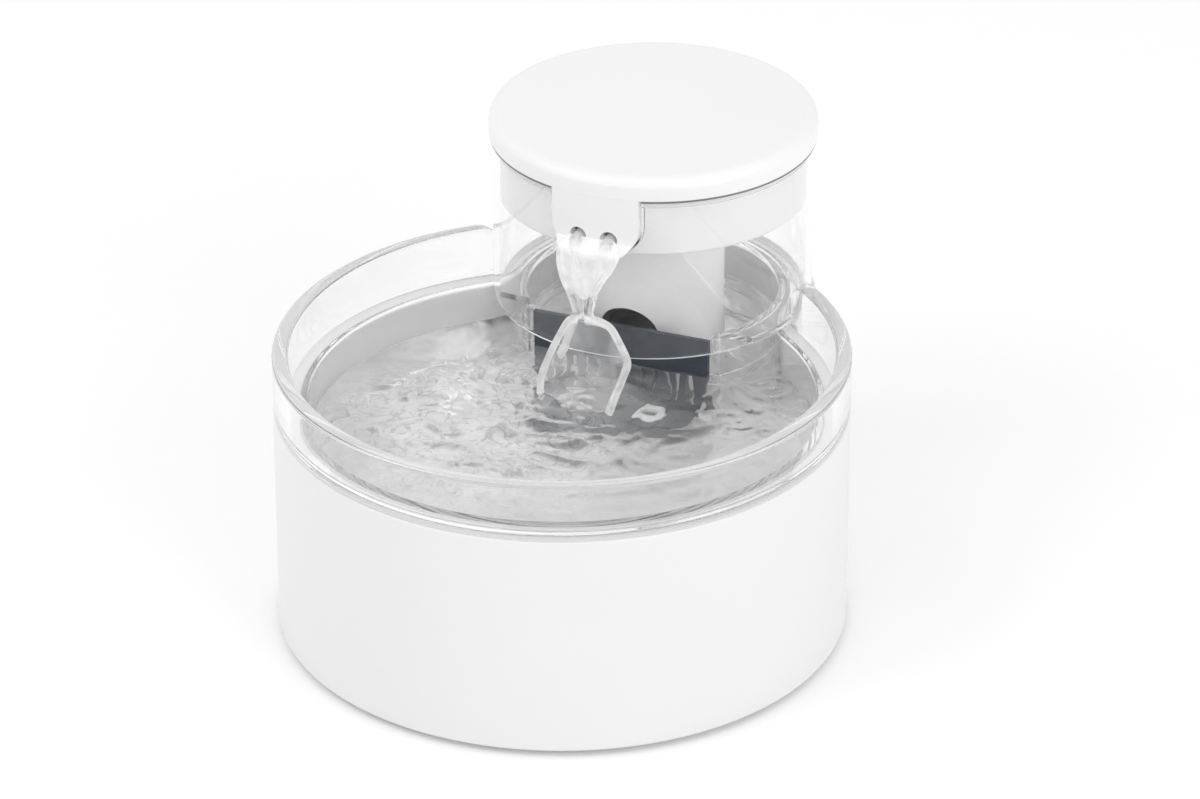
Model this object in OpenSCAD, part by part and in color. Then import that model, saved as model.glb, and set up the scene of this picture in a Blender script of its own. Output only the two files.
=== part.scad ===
// Pet water fountain: a clear keyhole-shaped bowl in a white powered base, with a clear
// tower whose pump, riser, tray and filter feed a spout on the lift-off lid.
// Millimetres, +Z up. The origin is on the floor, under the middle of the whole outline.
// The fountain faces -Y: the bowl is in front and the tower stands behind it.

/* [Outline] */
// Outer radius of the bowl and of the base around it
bowl_r = 115; // [110:1:125]
// Outer radius of the lobe behind the bowl that carries the tower
lobe_r = 67; // [66.5:0.5:72]
// Distance between the bowl's axis and the tower's axis
axis_gap = 100; // [96:1:104]
// Radius of the hollow corner where the bowl and the lobe meet
waist_r = 12; // [8:1:16]

/* [Base] */
// Height of the rubber feet below the housing
foot_h = 2; // [1.5:0.5:4]
// Radius of a rubber foot
foot_r = 8; // [6:0.5:10]
// Height of the white housing's top edge above the floor
base_top_z = 95.5; // [94:0.5:100]
// Thickness of the housing's walls
base_wall = 2.6; // [2:0.2:3]
// Thickness of the ledge that carries the bowl
ledge_t = 3; // [2:0.5:4]
// Thickness of the floor between the motor and the bowl
well_floor_t = 3; // [2:0.25:3.5]
// Thickness of the screwed bottom plate
plate_t = 3; // [2.5:0.25:3.5]
// Shank radius of the case screws
case_screw_r = 1.5; // [1.2:0.1:1.8]
// Length of a case screw's shank
case_screw_l = 14; // [10:1:18]

/* [Bowl] */
// Width of the ledge between the tub and the bowl's outside
ledge_w = 11; // [10:0.5:13]
// Width of that ledge around the lobe under the tower
lobe_ledge_w = 8; // [7:0.5:8.5]
// Height of the tub's underside above the floor
tub_bottom_z = 40; // [39.5:0.25:42]
// Thickness of the tub's floor
tub_floor_t = 3; // [2.5:0.25:3.5]
// Thickness of the tub's wall
tub_wall = 2.5; // [2:0.25:3]
// Thickness of the flange that rests on the base
flange_t = 2.5; // [2:0.25:3]
// Height of the clear rim's top above the floor
rim_z = 120; // [115:1:126]
// Thickness of the clear rim
rim_t = 6.5; // [5:0.5:8]
// Bevel of the rim's ends beside the tower
rim_bevel = 5; // [3:0.5:7]
// Thickness of the soft ring under the flange
bowl_seal_t = 0.6; // [0.4:0.1:1]

/* [Tower] */
// Distance of the clear shell inside the lobe's outside
shell_inset = 1.4; // [1:0.1:2.5]
// Thickness of the shell's wall
shell_wall = 2.5; // [2:0.25:2.75]
// Height of the seam between the shell and the lid
seam_z = 170.2; // [166:0.2:176]
// Thickness of the shoulder at the shell's foot
shoulder_t = 2.5; // [2:0.25:3]
// Gap between the D-shaped skirt below the shoulder and the tub's wall
skirt_gap = 2.5; // [1.5:0.5:4.5]
// Thickness of the skirt's wall
skirt_wall = 2.2; // [1.8:0.2:2.6]
// Distance from the tower's axis to the skirt's flat front
skirt_flat = 34; // [32:0.5:36]
// Height of the skirt's lower edge above the floor
skirt_bottom_z = 72; // [66:1:80]
// Outer radius of the white column
column_r = 29.5; // [28.8:0.1:30]
// Thickness of the column's wall
column_wall = 2.2; // [1.6:0.2:2.2]
// Radius of the arched inlet at the column's foot
arch_r = 13; // [10:0.5:14]
// Height of the arch's crown above the floor
arch_top_z = 103; // [96:1:108]
// Outside height of the white tray under the lid
tray_h = 24.6; // [22:0.2:28]
// Thickness of the tray's wall and floor
tray_wall = 2; // [1.6:0.2:2.4]
// Width of the tray's lip that hangs on the shell
tray_lip = 1; // [0.8:0.1:1.2]
// Height of the tray's lip
tray_lip_h = 3; // [2:0.5:4]

/* [Lid] */
// How far the lid stands out beyond the shell
lid_overhang = 1.4; // [0.9:0.1:3.4]
// Height of the lid above the seam
lid_h = 9.8; // [8:0.2:14]
// Radius of the lid's rounded top edge
lid_edge_r = 4.5; // [3:0.5:6]
// Thickness of the lid's wall
lid_wall = 2.4; // [2:0.2:3]
// Depth of the ring under the lid that centres it in the tray
lid_plug_h = 7; // [4:0.5:7.5]
// Thickness of the grey seal between the lid and the shell
lid_seal_t = 0.8; // [0.5:0.1:1.2]
// Width of the spout's tongue
tongue_w = 37; // [34:1:44]
// Length of the tongue below the seam
tongue_l = 25; // [23:0.5:25.5]
// Radius of the tongue's lower corners
tongue_corner_r = 12; // [8:0.5:14]
// How far the lip stands out below the outlets
lip_out = 4.5; // [2:0.5:6]
// Height of the lip
lip_h = 3.2; // [2.4:0.2:4]
// Radius of each of the two outlets
outlet_r = 3.6; // [3:0.1:4]
// Distance between the two outlets' axes
outlet_gap = 13; // [11:0.5:15]
// Depth of the outlets' axes below the seam
outlet_drop = 18; // [17:0.25:18.25]

/* [Pump] */
// Outer radius of the dark pump housing
pump_r = 26; // [25.5:0.1:26.5]
// Thickness of the pump housing's wall
pump_wall = 2; // [1.6:0.1:2.2]
// Height of the pump housing's roof above the floor
pump_top_z = 105; // [104.5:0.5:110]
// Height of the impeller's chamber
chamber_h = 21; // [20.5:0.25:23]
// Thickness of the plate over the impeller
eye_plate_t = 2; // [1.5:0.25:3]
// Radius of the inlet eye in that plate
eye_r = 8; // [6:0.5:8.5]
// Outer radius of the riser tube
riser_r = 6; // [5:0.25:6.25]
// Thickness of the riser tube's wall
riser_wall = 1.4; // [1:0.1:1.8]
// Radius of the impeller's steel pin
pin_r = 1.5; // [1.2:0.1:2]
// Height of the pin above the tub's floor
pin_h = 20; // [19:0.5:22]
// Outer radius of the impeller's disc
impeller_r = 20; // [18:0.5:22]
// Number of vanes on the impeller
vanes = 6; // [4:1:8]
// Outer radius of the impeller's ring magnet
imp_magnet_r = 17.5; // [14:0.5:17.5]
// Height of the impeller's ring magnet
imp_magnet_h = 7; // [5:0.5:8]

/* [Strainer] */
// Distance of the dark strainer's sides inside the skirt's flat front
strainer_inset = 4; // [3:0.5:7]
// Thickness of the panel
strainer_t = 2.2; // [1.6:0.2:2.6]
// Height of the panel's top above the floor
strainer_top_z = 98; // [94:0.5:98.5]
// Radius of the foot's round ends
strainer_foot_r = 18; // [14:0.5:20]
// Distance from the middle to each suction cup
cup_side = 17; // [15:0.5:20]
// Distance from the panel's face forward to the suction cups
cup_forward = 10; // [8:0.5:13]
// Radius of the cup's head
cup_head_r = 7; // [6:0.25:8]

/* [Motor] */
// Outer radius of the motor's can
motor_r = 16; // [14:0.5:18]
// Height of the motor's can
motor_h = 15; // [14:0.5:16]
// Radius of the motor's shaft
shaft_r = 1.5; // [1.2:0.1:1.8]
// Outer radius of the disc that carries the drive magnets
carrier_r = 21; // [20:0.5:22]
// Thickness of that disc
carrier_t = 5; // [4.5:0.25:5.5]
// Radius of each drive magnet
drive_magnet_r = 4.5; // [3.5:0.25:5]
// Distance from the shaft to each drive magnet
drive_magnet_ring = 14; // [13:0.5:15]

/* [Electronics] */
// Length of the circuit board
board_l = 56; // [48:1:64]
// Width of the circuit board
board_w = 36; // [32:1:42]
// Thickness of the circuit board
board_t = 1.6; // [1.2:0.2:2]
// Radius of the power jack's barrel
jack_r = 5.5; // [5:0.25:6]
// Length of the power jack's barrel
jack_l = 16; // [14:0.5:18]
// Radius of the power jack's socket
jack_bore_r = 2.8; // [2.75:0.05:3.2]

/* [Clearances] */
// Gap between parts that lift apart
lift_gap = 0.3; // [0.2:0.1:0.5]
// Gap between the tub's wall and the well
well_gap = 0.6; // [0.4:0.1:1]
// Gap between fixed pieces that are assembled into each other
fit_gap = 0.1; // [0.05:0.05:0.2]
// Radial gap of a shaft or pin that turns in its bore
running_gap = 0.06; // [0.03:0.01:0.09]

/* [Hidden] */
$fn = 96;
eps = 0.01;
reach = 400;

// The two axes; their places put the whole outline's middle at the origin.
bowl_y = -(axis_gap + lobe_r - bowl_r) / 2;
tower_y = bowl_y + axis_gap;

// Heights, from the floor up.
plate_top_z = foot_h + plate_t;
well_top_z = tub_bottom_z - 0.5;
well_under_z = well_top_z - well_floor_t;
tub_floor_z = tub_bottom_z + tub_floor_t;
flange_z = base_top_z + bowl_seal_t;
flange_top_z = flange_z + flange_t;
shell_z = flange_top_z + lift_gap;
shell_top_z = seam_z - lid_seal_t;
shoulder_top_z = shell_z + shoulder_t;
tray_z = shell_top_z - tray_h;
tray_floor_z = tray_z + tray_wall;
lip_z = shell_top_z - tray_lip_h;
lid_top_z = seam_z + lid_h;

// Radii that follow.
tub_r = bowl_r - ledge_w;
tub_lobe_r = lobe_r - lobe_ledge_w;
shell_r = lobe_r - shell_inset;
lid_r = shell_r + lid_overhang;
well_r = tub_r + well_gap;
well_lobe_r = tub_lobe_r + well_gap;
tub_in_r = tub_r - tub_wall;
tub_lobe_in_r = tub_lobe_r - tub_wall;
rim_gap_r = shell_r + 2.5 * lift_gap;
rim_in_r = bowl_r - rim_t;
shell_in_r = shell_r - shell_wall;
tray_r = shell_in_r - 0.6;
tray_in_r = tray_r - tray_wall;
lip_r = tray_r + tray_lip;
tongue_in_r = tray_in_r + lift_gap;
tongue_gap = 0.8;
skirt_r = tub_lobe_in_r - skirt_gap;
skirt_in_r = skirt_r - skirt_wall;
column_in_r = column_r - column_wall;
pump_in_r = pump_r - pump_wall;
riser_in_r = riser_r - riser_wall;
socket_wall = 1.5;
socket_r = riser_r + lift_gap + socket_wall;
riser_back = pump_in_r - fit_gap - socket_r - 0.3;

// The waist's radius grows by as much as an inner outline has shrunk.
tub_waist_r = waist_r + ledge_w;
well_waist_r = tub_waist_r - well_gap;

// The soft ring under the bowl's flange.
seal_inset = 1.2;
seal_w = 3.5;

// The impeller, from the tub's floor up.
boss_h = 1.2;
boss_r = 4;
magnet_z = tub_floor_z + boss_h + lift_gap;
disc_z = magnet_z + imp_magnet_h;
disc_t = 1.5;
chamber_top_z = tub_floor_z + chamber_h;
hub_r = 4.5;
bush_r = 3;
vane_t = 1.4;
vane_inset = 1;
vane_top_z = chamber_top_z - 1.5;
vane_h = vane_top_z - disc_z - disc_t;
eye_top_z = chamber_top_z + eye_plate_t;
socket_h = 10;
pin_sink = 2;

// The motor, from the bottom plate up.
motor_z = plate_top_z + 1.4;
end_cap_t = 1.2;
can_wall = 1.1;
motor_top_z = motor_z + end_cap_t + motor_h;
bush_h = 2.4;
motor_bush_r = 3.2;
bracket_t = 1.6;
bracket_top_z = motor_top_z + bracket_t;
carrier_z = bracket_top_z + 2;
carrier_top_z = carrier_z + carrier_t;
magnet_floor_t = 1.2;
magnet_proud = 0.6;
motor_post_r = 3.5;
motor_post_ring = motor_r + motor_post_r + 2.5;
motor_posts = 3;
stator_r = motor_r - can_wall - fit_gap;
rotor_r = 9;
air_gap = 0.5;
stator_gap = 1.5;
stator_z = motor_z + end_cap_t + 1.6;
stator_h = motor_h - 5;
poles = 6;
tooth_w = 2.4;
coil_turn_w = 5.2;

// Case screws and feet: places around the bowl's axis and behind the tower's axis.
boss_ring = bowl_r - base_wall - 18;
boss_angles = [35, 145, 215, 270, 325];
lobe_boss_ring = lobe_r - base_wall - 14;
lobe_boss_angles = [35, 145];
case_boss_r = 4.5;
head_r = 3;
head_h = 1.8;
head_sink = plate_t - head_h - 0.6;
foot_ring = boss_ring - 13;
foot_angles = [30, 150, 225, 315];
lobe_foot_back = lobe_boss_ring - 10;
foot_peg_r = 3;

// The circuit board lies in front, under the bowl.
board_y = bowl_y - 45;
board_z = plate_top_z + 5;
board_post_r = 2.6;
board_inset = 4;
board_screw_r = 1;
board_screw_bite = 3.6;
motor_screw_bite = 7;
small_head_r = 2;
small_head_h = 1.2;

// The wires from the jack to the board and from the board to the motor.
wire_r = 0.7;
wire_pitch = 2.4;
wire_lift = 6;
wire_end_gap = 0.6;
wire_run = 40;
wire_side = 15;
plug_l = 10;
plug_w = 6;
plug_h = 5;
plug_y = board_y + board_w / 2 - 10;
wire_board_y = plug_y + plug_w + 0.8;

// What else stands on the board.
chip_w = 12;
chip_h = 1.6;
capacitor_r = 4;
capacitor_h = 9;
coil_l = 14;
coil_w = 8;
coil_h = 6;

// The power jack looks out of the back of the lobe.
jack_z = 20;
jack_wall_y = tower_y + lobe_r;
jack_flange_r = jack_r + 2;
jack_flange_t = 1.6;
jack_seat = 2.4;
jack_wall_t = 3.4;
jack_bore_l = 10;
jack_nut_t = 2.5;
jack_nut_r = jack_r + 2.6;

// The filter in the tray.
filter_r = tray_in_r - lid_wall - 2.6;
filter_z = tray_floor_z + 0.6;
filter_base_t = 1.4;
foam_h = 4;
carbon_h = 4.5;
filter_cover_t = 1.4;
filter_wall = 1.4;
filter_hole_r = riser_r + 2;
grid_pitch = 12;
grid_bar = 1.6;
carbon_z = filter_z + filter_base_t;
foam_z = carbon_z + carbon_h;
filter_cover_z = foam_z + foam_h;
riser_top_z = filter_cover_z + filter_cover_t + 1.5;
lid_plug_r = tray_in_r - 0.6;

// The strainer.
strainer_y = tower_y - skirt_flat;
strainer_w = 2 * (sqrt(skirt_r * skirt_r - skirt_flat * skirt_flat) - strainer_inset);
cup_y = strainer_y - strainer_t - cup_forward;
foot_plate_t = 2;
foot_plate_z = tub_floor_z + 2.4;
slot_w = 2.2;
slot_pitch = 5;
slots = 2 * floor((strainer_w / 2 - slot_pitch) / slot_pitch) + 1;
slot_low_z = foot_plate_z + foot_plate_t + 4;
slot_high_z = skirt_bottom_z + 8;
cup_neck_r = 4;
cup_head_h = 2.6;
cup_hole_r = 3.2;
cup_rest_h = foot_plate_z - tub_floor_z;

// ---- shared shapes ----

module at_bowl(z = 0) { translate([0, bowl_y, z]) children(); }

module at_tower(z = 0) { translate([0, tower_y, z]) children(); }

module tube(r_out, r_in, h) {
    difference() {
        cylinder(r = r_out, h = h);
        translate([0, 0, -1]) cylinder(r = r_in, h = h + 2);
    }
}

// Centre of the circle that fills the corner between the bowl's and the lobe's circles.
function waist_centre(rb, rt, rf) =
    let (a = rb + rf, b = rt + rf, y = (a * a - b * b + axis_gap * axis_gap) / (2 * axis_gap))
    [sqrt(a * a - y * y), y];

// The keyhole outline: the bowl's circle, the lobe's circle and their hollow corners.
module keyhole(rb, rt, rf) {
    c = waist_centre(rb, rt, rf);
    translate([0, bowl_y]) {
        circle(r = rb);
        translate([0, axis_gap]) circle(r = rt);
        for (s = [-1, 1]) difference() {
            polygon([[0, 0], [s * c.x, c.y], [0, axis_gap]]);
            translate([s * c.x, c.y]) circle(r = rf);
        }
    }
}

// The bowl's and the lobe's circles alone, drawn in by an inset.
module two_circles(inset) {
    translate([0, bowl_y]) circle(r = bowl_r - inset);
    translate([0, tower_y]) circle(r = lobe_r - inset);
}

module outer_outline() { keyhole(bowl_r, lobe_r, waist_r); }

module housing_inside() {
    keyhole(bowl_r - base_wall, lobe_r - base_wall, waist_r + base_wall);
}

module well_outline() { keyhole(well_r, well_lobe_r, well_waist_r); }

module well_skin() {
    keyhole(well_r + base_wall, well_lobe_r + base_wall, well_waist_r - base_wall);
}

module tub_outline() { keyhole(tub_r, tub_lobe_r, tub_waist_r); }

module tub_inside() { keyhole(tub_in_r, tub_lobe_in_r, tub_waist_r + tub_wall); }

module slab(z_low, z_high) {
    translate([0, 0, z_low]) linear_extrude(height = z_high - z_low) children();
}

module case_boss_places() {
    for (a = boss_angles)
        translate([boss_ring * cos(a), bowl_y + boss_ring * sin(a), 0]) children();
    for (a = lobe_boss_angles)
        translate([lobe_boss_ring * cos(a), tower_y + lobe_boss_ring * sin(a), 0]) children();
}

module foot_places() {
    for (a = foot_angles)
        translate([foot_ring * cos(a), bowl_y + foot_ring * sin(a), 0]) children();
    translate([0, tower_y + lobe_foot_back, 0]) children();
}

module motor_post_places() {
    for (i = [0:motor_posts - 1])
        at_tower() rotate(90 + i * 360 / motor_posts + 30)
            translate([motor_post_ring, 0, 0]) children();
}

module board_post_places() {
    for (x = [-1, 1], y = [-1, 1])
        translate([x * (board_l / 2 - board_inset),
                   board_y + y * (board_w / 2 - board_inset), 0]) children();
}

// ---- base ----

module base_housing() {
    color("white") difference() {
        union() {
            difference() {
                slab(foot_h, base_top_z) outer_outline();
                slab(foot_h - 1, base_top_z - ledge_t) housing_inside();
                slab(foot_h - 1, base_top_z + 1) well_outline();
            }
            difference() {
                slab(well_under_z, base_top_z - ledge_t + eps) well_skin();
                slab(well_top_z, base_top_z + 1) well_outline();
            }
            case_boss_places() translate([0, 0, plate_top_z])
                cylinder(r = case_boss_r, h = well_under_z - plate_top_z + eps);
            jack_pad();
        }
        case_boss_places() translate([0, 0, plate_top_z - 1])
            cylinder(r = case_screw_r + fit_gap / 2, h = case_screw_l + 1);
        jack_cut();
    }
}

// The thick pad that gives the jack flat seats inside and outside the round wall.
module jack_pad() {
    intersection() {
        translate([-jack_nut_r - 1.5, jack_wall_y - jack_seat - jack_wall_t, jack_z - jack_nut_r - 1])
            cube([2 * jack_nut_r + 3, 5, 2 * jack_nut_r + 2]);
        slab(foot_h, base_top_z) outer_outline();
    }
}

module jack_cut() {
    translate([0, jack_wall_y - jack_seat, jack_z]) rotate([-90, 0, 0])
        cylinder(r = jack_flange_r + fit_gap, h = reach);
    translate([0, jack_wall_y - jack_seat - 10, jack_z]) rotate([-90, 0, 0])
        cylinder(r = jack_r + fit_gap, h = 12);
    translate([0, jack_wall_y - jack_seat - jack_wall_t, jack_z]) rotate([90, 0, 0])
        cylinder(r = jack_nut_r + 1, h = 10);
}

module bottom_plate() {
    color("white") difference() {
        union() {
            slab(foot_h, plate_top_z) keyhole(bowl_r - base_wall - fit_gap,
                lobe_r - base_wall - fit_gap, waist_r + base_wall + fit_gap);
            at_tower(plate_top_z - eps) tube(motor_r + 2.4, motor_r + fit_gap, 4);
            motor_post_places() translate([0, 0, plate_top_z - eps])
                cylinder(r = motor_post_r, h = motor_top_z - plate_top_z + eps);
            board_post_places() translate([0, 0, plate_top_z - eps])
                cylinder(r = board_post_r, h = board_z - plate_top_z + eps);
        }
        case_boss_places() {
            translate([0, 0, foot_h - 1]) cylinder(r = case_screw_r + fit_gap, h = reach);
            translate([0, 0, foot_h - 1]) cylinder(r = head_r + fit_gap, h = 1 + head_sink + head_h);
        }
        foot_places() translate([0, 0, foot_h - 1])
            cylinder(r = foot_peg_r + fit_gap / 2, h = plate_t + 2);
        motor_post_places() translate([0, 0, motor_top_z - 8])
            cylinder(r = board_screw_r + fit_gap / 2, h = 9);
        board_post_places() translate([0, 0, board_z - 4])
            cylinder(r = board_screw_r + fit_gap / 2, h = 5);
    }
}

module rubber_feet() {
    color("dimgray") foot_places() {
        cylinder(r = foot_r, h = foot_h);
        cylinder(r = foot_peg_r, h = foot_h + plate_t);
    }
}

module case_screws() {
    color("silver") case_boss_places() difference() {
        union() {
            translate([0, 0, foot_h + head_sink]) cylinder(r = head_r, h = head_h);
            translate([0, 0, foot_h + head_sink]) cylinder(r = case_screw_r, h = head_h + case_screw_l);
        }
        for (a = [0, 90]) rotate(a)
            translate([-head_r * 0.6, -0.4, foot_h + head_sink - 1]) cube([head_r * 1.2, 0.8, 2]);
    }
}

module bowl_seal() {
    color("gray") difference() {
        slab(base_top_z, flange_z) two_circles(seal_inset);
        slab(base_top_z - 1, flange_z + 1) two_circles(seal_inset + seal_w);
    }
}

// ---- motor ----

module motor_can() {
    color("silver") at_tower(motor_z + end_cap_t) difference() {
        cylinder(r = motor_r, h = motor_h);
        translate([0, 0, -1]) cylinder(r = motor_r - can_wall, h = motor_h - can_wall + 1);
        cylinder(r = motor_bush_r + fit_gap / 2, h = motor_h + 1);
    }
}

module motor_end_cap() {
    color("black") difference() {
        union() {
            at_tower(motor_z) cylinder(r = motor_r, h = end_cap_t);
            at_tower(plate_top_z) tube(motor_r - 2, motor_r - 5, motor_z - plate_top_z + eps);
        }
        at_tower(0) cylinder(r = motor_bush_r + fit_gap / 2, h = reach);
    }
}

module stator_core() {
    color("slategray") at_tower(stator_z) {
        tube(stator_r, stator_r - 2, stator_h);
        for (i = [0:poles - 1]) rotate(i * 360 / poles) intersection() {
            tube(stator_r - 1, rotor_r + air_gap, stator_h);
            translate([0, -tooth_w / 2, 0]) cube([reach, tooth_w, stator_h]);
        }
    }
}

module stator_coils() {
    color("peru") at_tower(stator_z - 1) for (i = [0:poles - 1]) rotate(i * 360 / poles)
        difference() {
            intersection() {
                tube(stator_r - 2 - fit_gap, rotor_r + stator_gap, stator_h + 2);
                translate([0, -coil_turn_w / 2, 0]) cube([reach, coil_turn_w, stator_h + 2]);
            }
            translate([0, -tooth_w / 2 - fit_gap, 1 - fit_gap])
                cube([reach, tooth_w + 2 * fit_gap, stator_h + 2 * fit_gap]);
        }
}

module motor_bushes() {
    color("goldenrod") for (z = [motor_z - 0.6, motor_top_z - bush_h + 0.8])
        at_tower(z) tube(motor_bush_r, shaft_r + running_gap, bush_h);
}

module motor_bracket() {
    color("silver") difference() {
        at_tower(motor_top_z) cylinder(r = motor_post_ring + motor_post_r, h = bracket_t);
        at_tower(0) cylinder(r = motor_bush_r + 1, h = reach);
        motor_post_places() cylinder(r = board_screw_r + fit_gap, h = reach);
    }
}

module small_screw(z, shank_l) {
    translate([0, 0, z]) cylinder(r = small_head_r, h = small_head_h);
    translate([0, 0, z - shank_l]) cylinder(r = board_screw_r, h = shank_l + eps);
}

module motor_screws() {
    color("silver") motor_post_places() small_screw(bracket_top_z, bracket_t + motor_screw_bite);
}

module motor_shaft() {
    color("silver") at_tower(motor_z - 0.4) cylinder(r = shaft_r, h = carrier_top_z - motor_z);
}

module rotor_magnet() {
    color("dimgray") at_tower(stator_z) tube(rotor_r, shaft_r + fit_gap / 4, stator_h);
}

module magnet_carrier() {
    color("white") at_tower(carrier_z) difference() {
        cylinder(r = carrier_r, h = carrier_t);
        translate([0, 0, -1]) cylinder(r = shaft_r + fit_gap / 4, h = carrier_t + 2);
        for (a = [45:90:315]) rotate(a) translate([drive_magnet_ring, 0, magnet_floor_t])
            cylinder(r = drive_magnet_r + fit_gap / 2, h = carrier_t);
    }
}

module drive_magnets() {
    color("silver") at_tower(carrier_z + magnet_floor_t) for (a = [45:90:315])
        rotate(a) translate([drive_magnet_ring, 0, 0])
            cylinder(r = drive_magnet_r, h = carrier_t - magnet_floor_t + magnet_proud);
}

// ---- electronics ----

module circuit_board() {
    color("green") difference() {
        union() {
            translate([-board_l / 2, board_y - board_w / 2, board_z]) cube([board_l, board_w, board_t]);
            translate([-chip_w * 2 / 3, board_y - chip_w / 2, board_z])
                cube([chip_w, chip_w, board_t + chip_h]);
            translate([board_l / 4, board_y - capacitor_r / 2, board_z])
                cylinder(r = capacitor_r, h = board_t + capacitor_h);
            translate([coil_w / 2 - board_l / 2, board_y - coil_l / 2, board_z])
                cube([coil_w, coil_l, board_t + coil_h]);
            for (x = [-wire_side, wire_side - 2])
                translate([x - plug_l / 2, plug_y, board_z]) cube([plug_l, plug_w, board_t + plug_h]);
        }
        board_post_places() cylinder(r = board_screw_r + fit_gap, h = reach);
    }
}

module board_screws() {
    color("silver") board_post_places() small_screw(board_z + board_t, board_t + board_screw_bite);
}

module power_jack() {
    color("black") translate([0, jack_wall_y - jack_seat, jack_z]) rotate([90, 0, 0])
        difference() {
            union() {
                cylinder(r = jack_r, h = jack_l);
                translate([0, 0, -jack_flange_t]) cylinder(r = jack_flange_r, h = jack_flange_t);
            }
            translate([0, 0, -jack_flange_t - 1]) cylinder(r = jack_bore_r, h = jack_bore_l + 1);
        }
}

module jack_nut() {
    color("silver") translate([0, jack_wall_y - jack_seat - jack_wall_t, jack_z]) rotate([90, 0, 0])
        difference() {
            cylinder(r = jack_nut_r, h = jack_nut_t, $fn = 6);
            translate([0, 0, -1]) cylinder(r = jack_r + fit_gap / 2, h = jack_nut_t + 2);
        }
}

// A straight insulated wire from one point to another.
module wire(p, q, r) {
    d = q - p;
    l = norm(d);
    translate(p) rotate([0, acos(d.z / l), atan2(d.y, d.x)]) cylinder(r = r, h = l, $fn = 16);
}

module supply_wires() {
    back = jack_wall_y - jack_seat - jack_l - wire_end_gap;
    side = motor_post_ring + motor_post_r + 3;
    turn_back = tower_y + motor_r - 2;
    turn_front = tower_y - wire_run;
    low = board_z + board_t + wire_lift;
    color("red") for (s = [-1, 1]) {
        dx = wire_pitch / 2 * s;
        wire([dx * 1.4, back, jack_z], [-side + dx, turn_back, low], wire_r);
        wire([-side + dx, turn_back, low], [-side + dx, turn_front, low], wire_r);
        wire([-side + dx, turn_front, low], [-wire_side + dx, wire_board_y, low - 2], wire_r);
        for (c = [[-side + dx, turn_back, low], [-side + dx, turn_front, low]])
            translate(c) sphere(r = wire_r + 0.02, $fn = 16);
    }
}

module motor_wires() {
    low = board_z + board_t + wire_lift - 2;
    color("gray") for (i = [-1:1]) {
        dx = 2 * i;
        wire([dx, tower_y - motor_r - wire_end_gap, low],
            [wire_side - 2 + dx, wire_board_y, low - 1], wire_r);
    }
}

// ---- bowl and pump ----

// Bevels the top corners of the rim's two ends beside the tower.
module rim_end_cut() {
    end_angle = acos((bowl_r * bowl_r + axis_gap * axis_gap - rim_gap_r * rim_gap_r)
        / (2 * bowl_r * axis_gap));
    at_bowl() for (s = [-1, 1]) rotate(90 - s * end_angle)
        translate([rim_in_r - rim_t, 0, rim_z]) rotate([45, 0, 0])
            translate([0, -rim_bevel / sqrt(2), -rim_bevel / sqrt(2)])
                cube([3 * rim_t, sqrt(2) * rim_bevel, sqrt(2) * rim_bevel]);
}

module bowl() {
    color("lightcyan", 0.4) difference() {
        union() {
            difference() {
                union() {
                    slab(tub_bottom_z, flange_z + eps) tub_outline();
                    slab(flange_z, flange_top_z) outer_outline();
                }
                slab(tub_floor_z, flange_top_z + 1) tub_inside();
            }
            difference() {
                at_bowl() rotate_extrude() {
                    translate([rim_in_r, flange_top_z - eps])
                        square([rim_t, rim_z - rim_t / 2 - flange_top_z + eps]);
                    translate([rim_in_r + rim_t / 2, rim_z - rim_t / 2]) circle(r = rim_t / 2);
                }
                at_tower(flange_top_z - 1) cylinder(r = rim_gap_r, h = reach);
                rim_end_cut();
            }
            at_tower(tub_floor_z - eps) cylinder(r = boss_r, h = boss_h + eps);
        }
        at_tower(tub_floor_z - pin_sink) cylinder(r = pin_r + fit_gap / 4, h = reach);
    }
}

module impeller_pin() {
    color("silver") at_tower(tub_floor_z - pin_sink) cylinder(r = pin_r, h = pin_sink + pin_h);
}

module arch_block(half, top_z, low_z, y_in, y_out) {
    translate([-half, -y_out, low_z]) cube([2 * half, y_out - y_in, top_z - half - low_z]);
    translate([0, -y_in, top_z - half]) rotate([90, 0, 0]) cylinder(r = half, h = y_out - y_in);
}

module pump_housing() {
    color([0.17, 0.19, 0.23]) at_tower() difference() {
        union() {
            translate([0, 0, tub_floor_z + lift_gap])
                cylinder(r = pump_r, h = pump_top_z - tub_floor_z - lift_gap);
        }
        translate([0, 0, tub_floor_z]) cylinder(r = pump_in_r, h = pump_top_z - pump_wall - tub_floor_z);
        translate([0, riser_back, tub_floor_z]) cylinder(r = riser_r + lift_gap, h = reach);
        arch_block(arch_r - 2, arch_top_z - 2, eye_top_z, 0, reach);
    }
}

module eye_plate() {
    color([0.17, 0.19, 0.23]) at_tower(chamber_top_z) difference() {
        union() {
            cylinder(r = pump_in_r - fit_gap, h = eye_plate_t);
            translate([0, riser_back, 0]) cylinder(r = socket_r, h = eye_plate_t + socket_h);
        }
        translate([0, 0, -1]) cylinder(r = eye_r, h = eye_plate_t + 2);
        translate([0, riser_back, -1]) cylinder(r = riser_in_r, h = reach);
        translate([0, riser_back, eye_plate_t]) cylinder(r = riser_r + lift_gap, h = reach);
    }
}

module impeller() {
    color("white") at_tower() difference() {
        union() {
            translate([0, 0, disc_z]) cylinder(r = impeller_r, h = disc_t);
            translate([0, 0, disc_z]) cylinder(r = hub_r, h = vane_top_z - disc_z);
            for (i = [0:vanes - 1]) rotate(i * 360 / vanes)
                translate([hub_r - 1, -vane_t / 2, disc_z + disc_t - eps])
                    cube([impeller_r - vane_inset - hub_r + 1, vane_t, vane_h + eps]);
        }
        cylinder(r = bush_r + fit_gap / 4, h = reach);
    }
}

module impeller_magnet() {
    color("dimgray") at_tower(magnet_z) tube(imp_magnet_r, bush_r + fit_gap / 4, imp_magnet_h);
}

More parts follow.
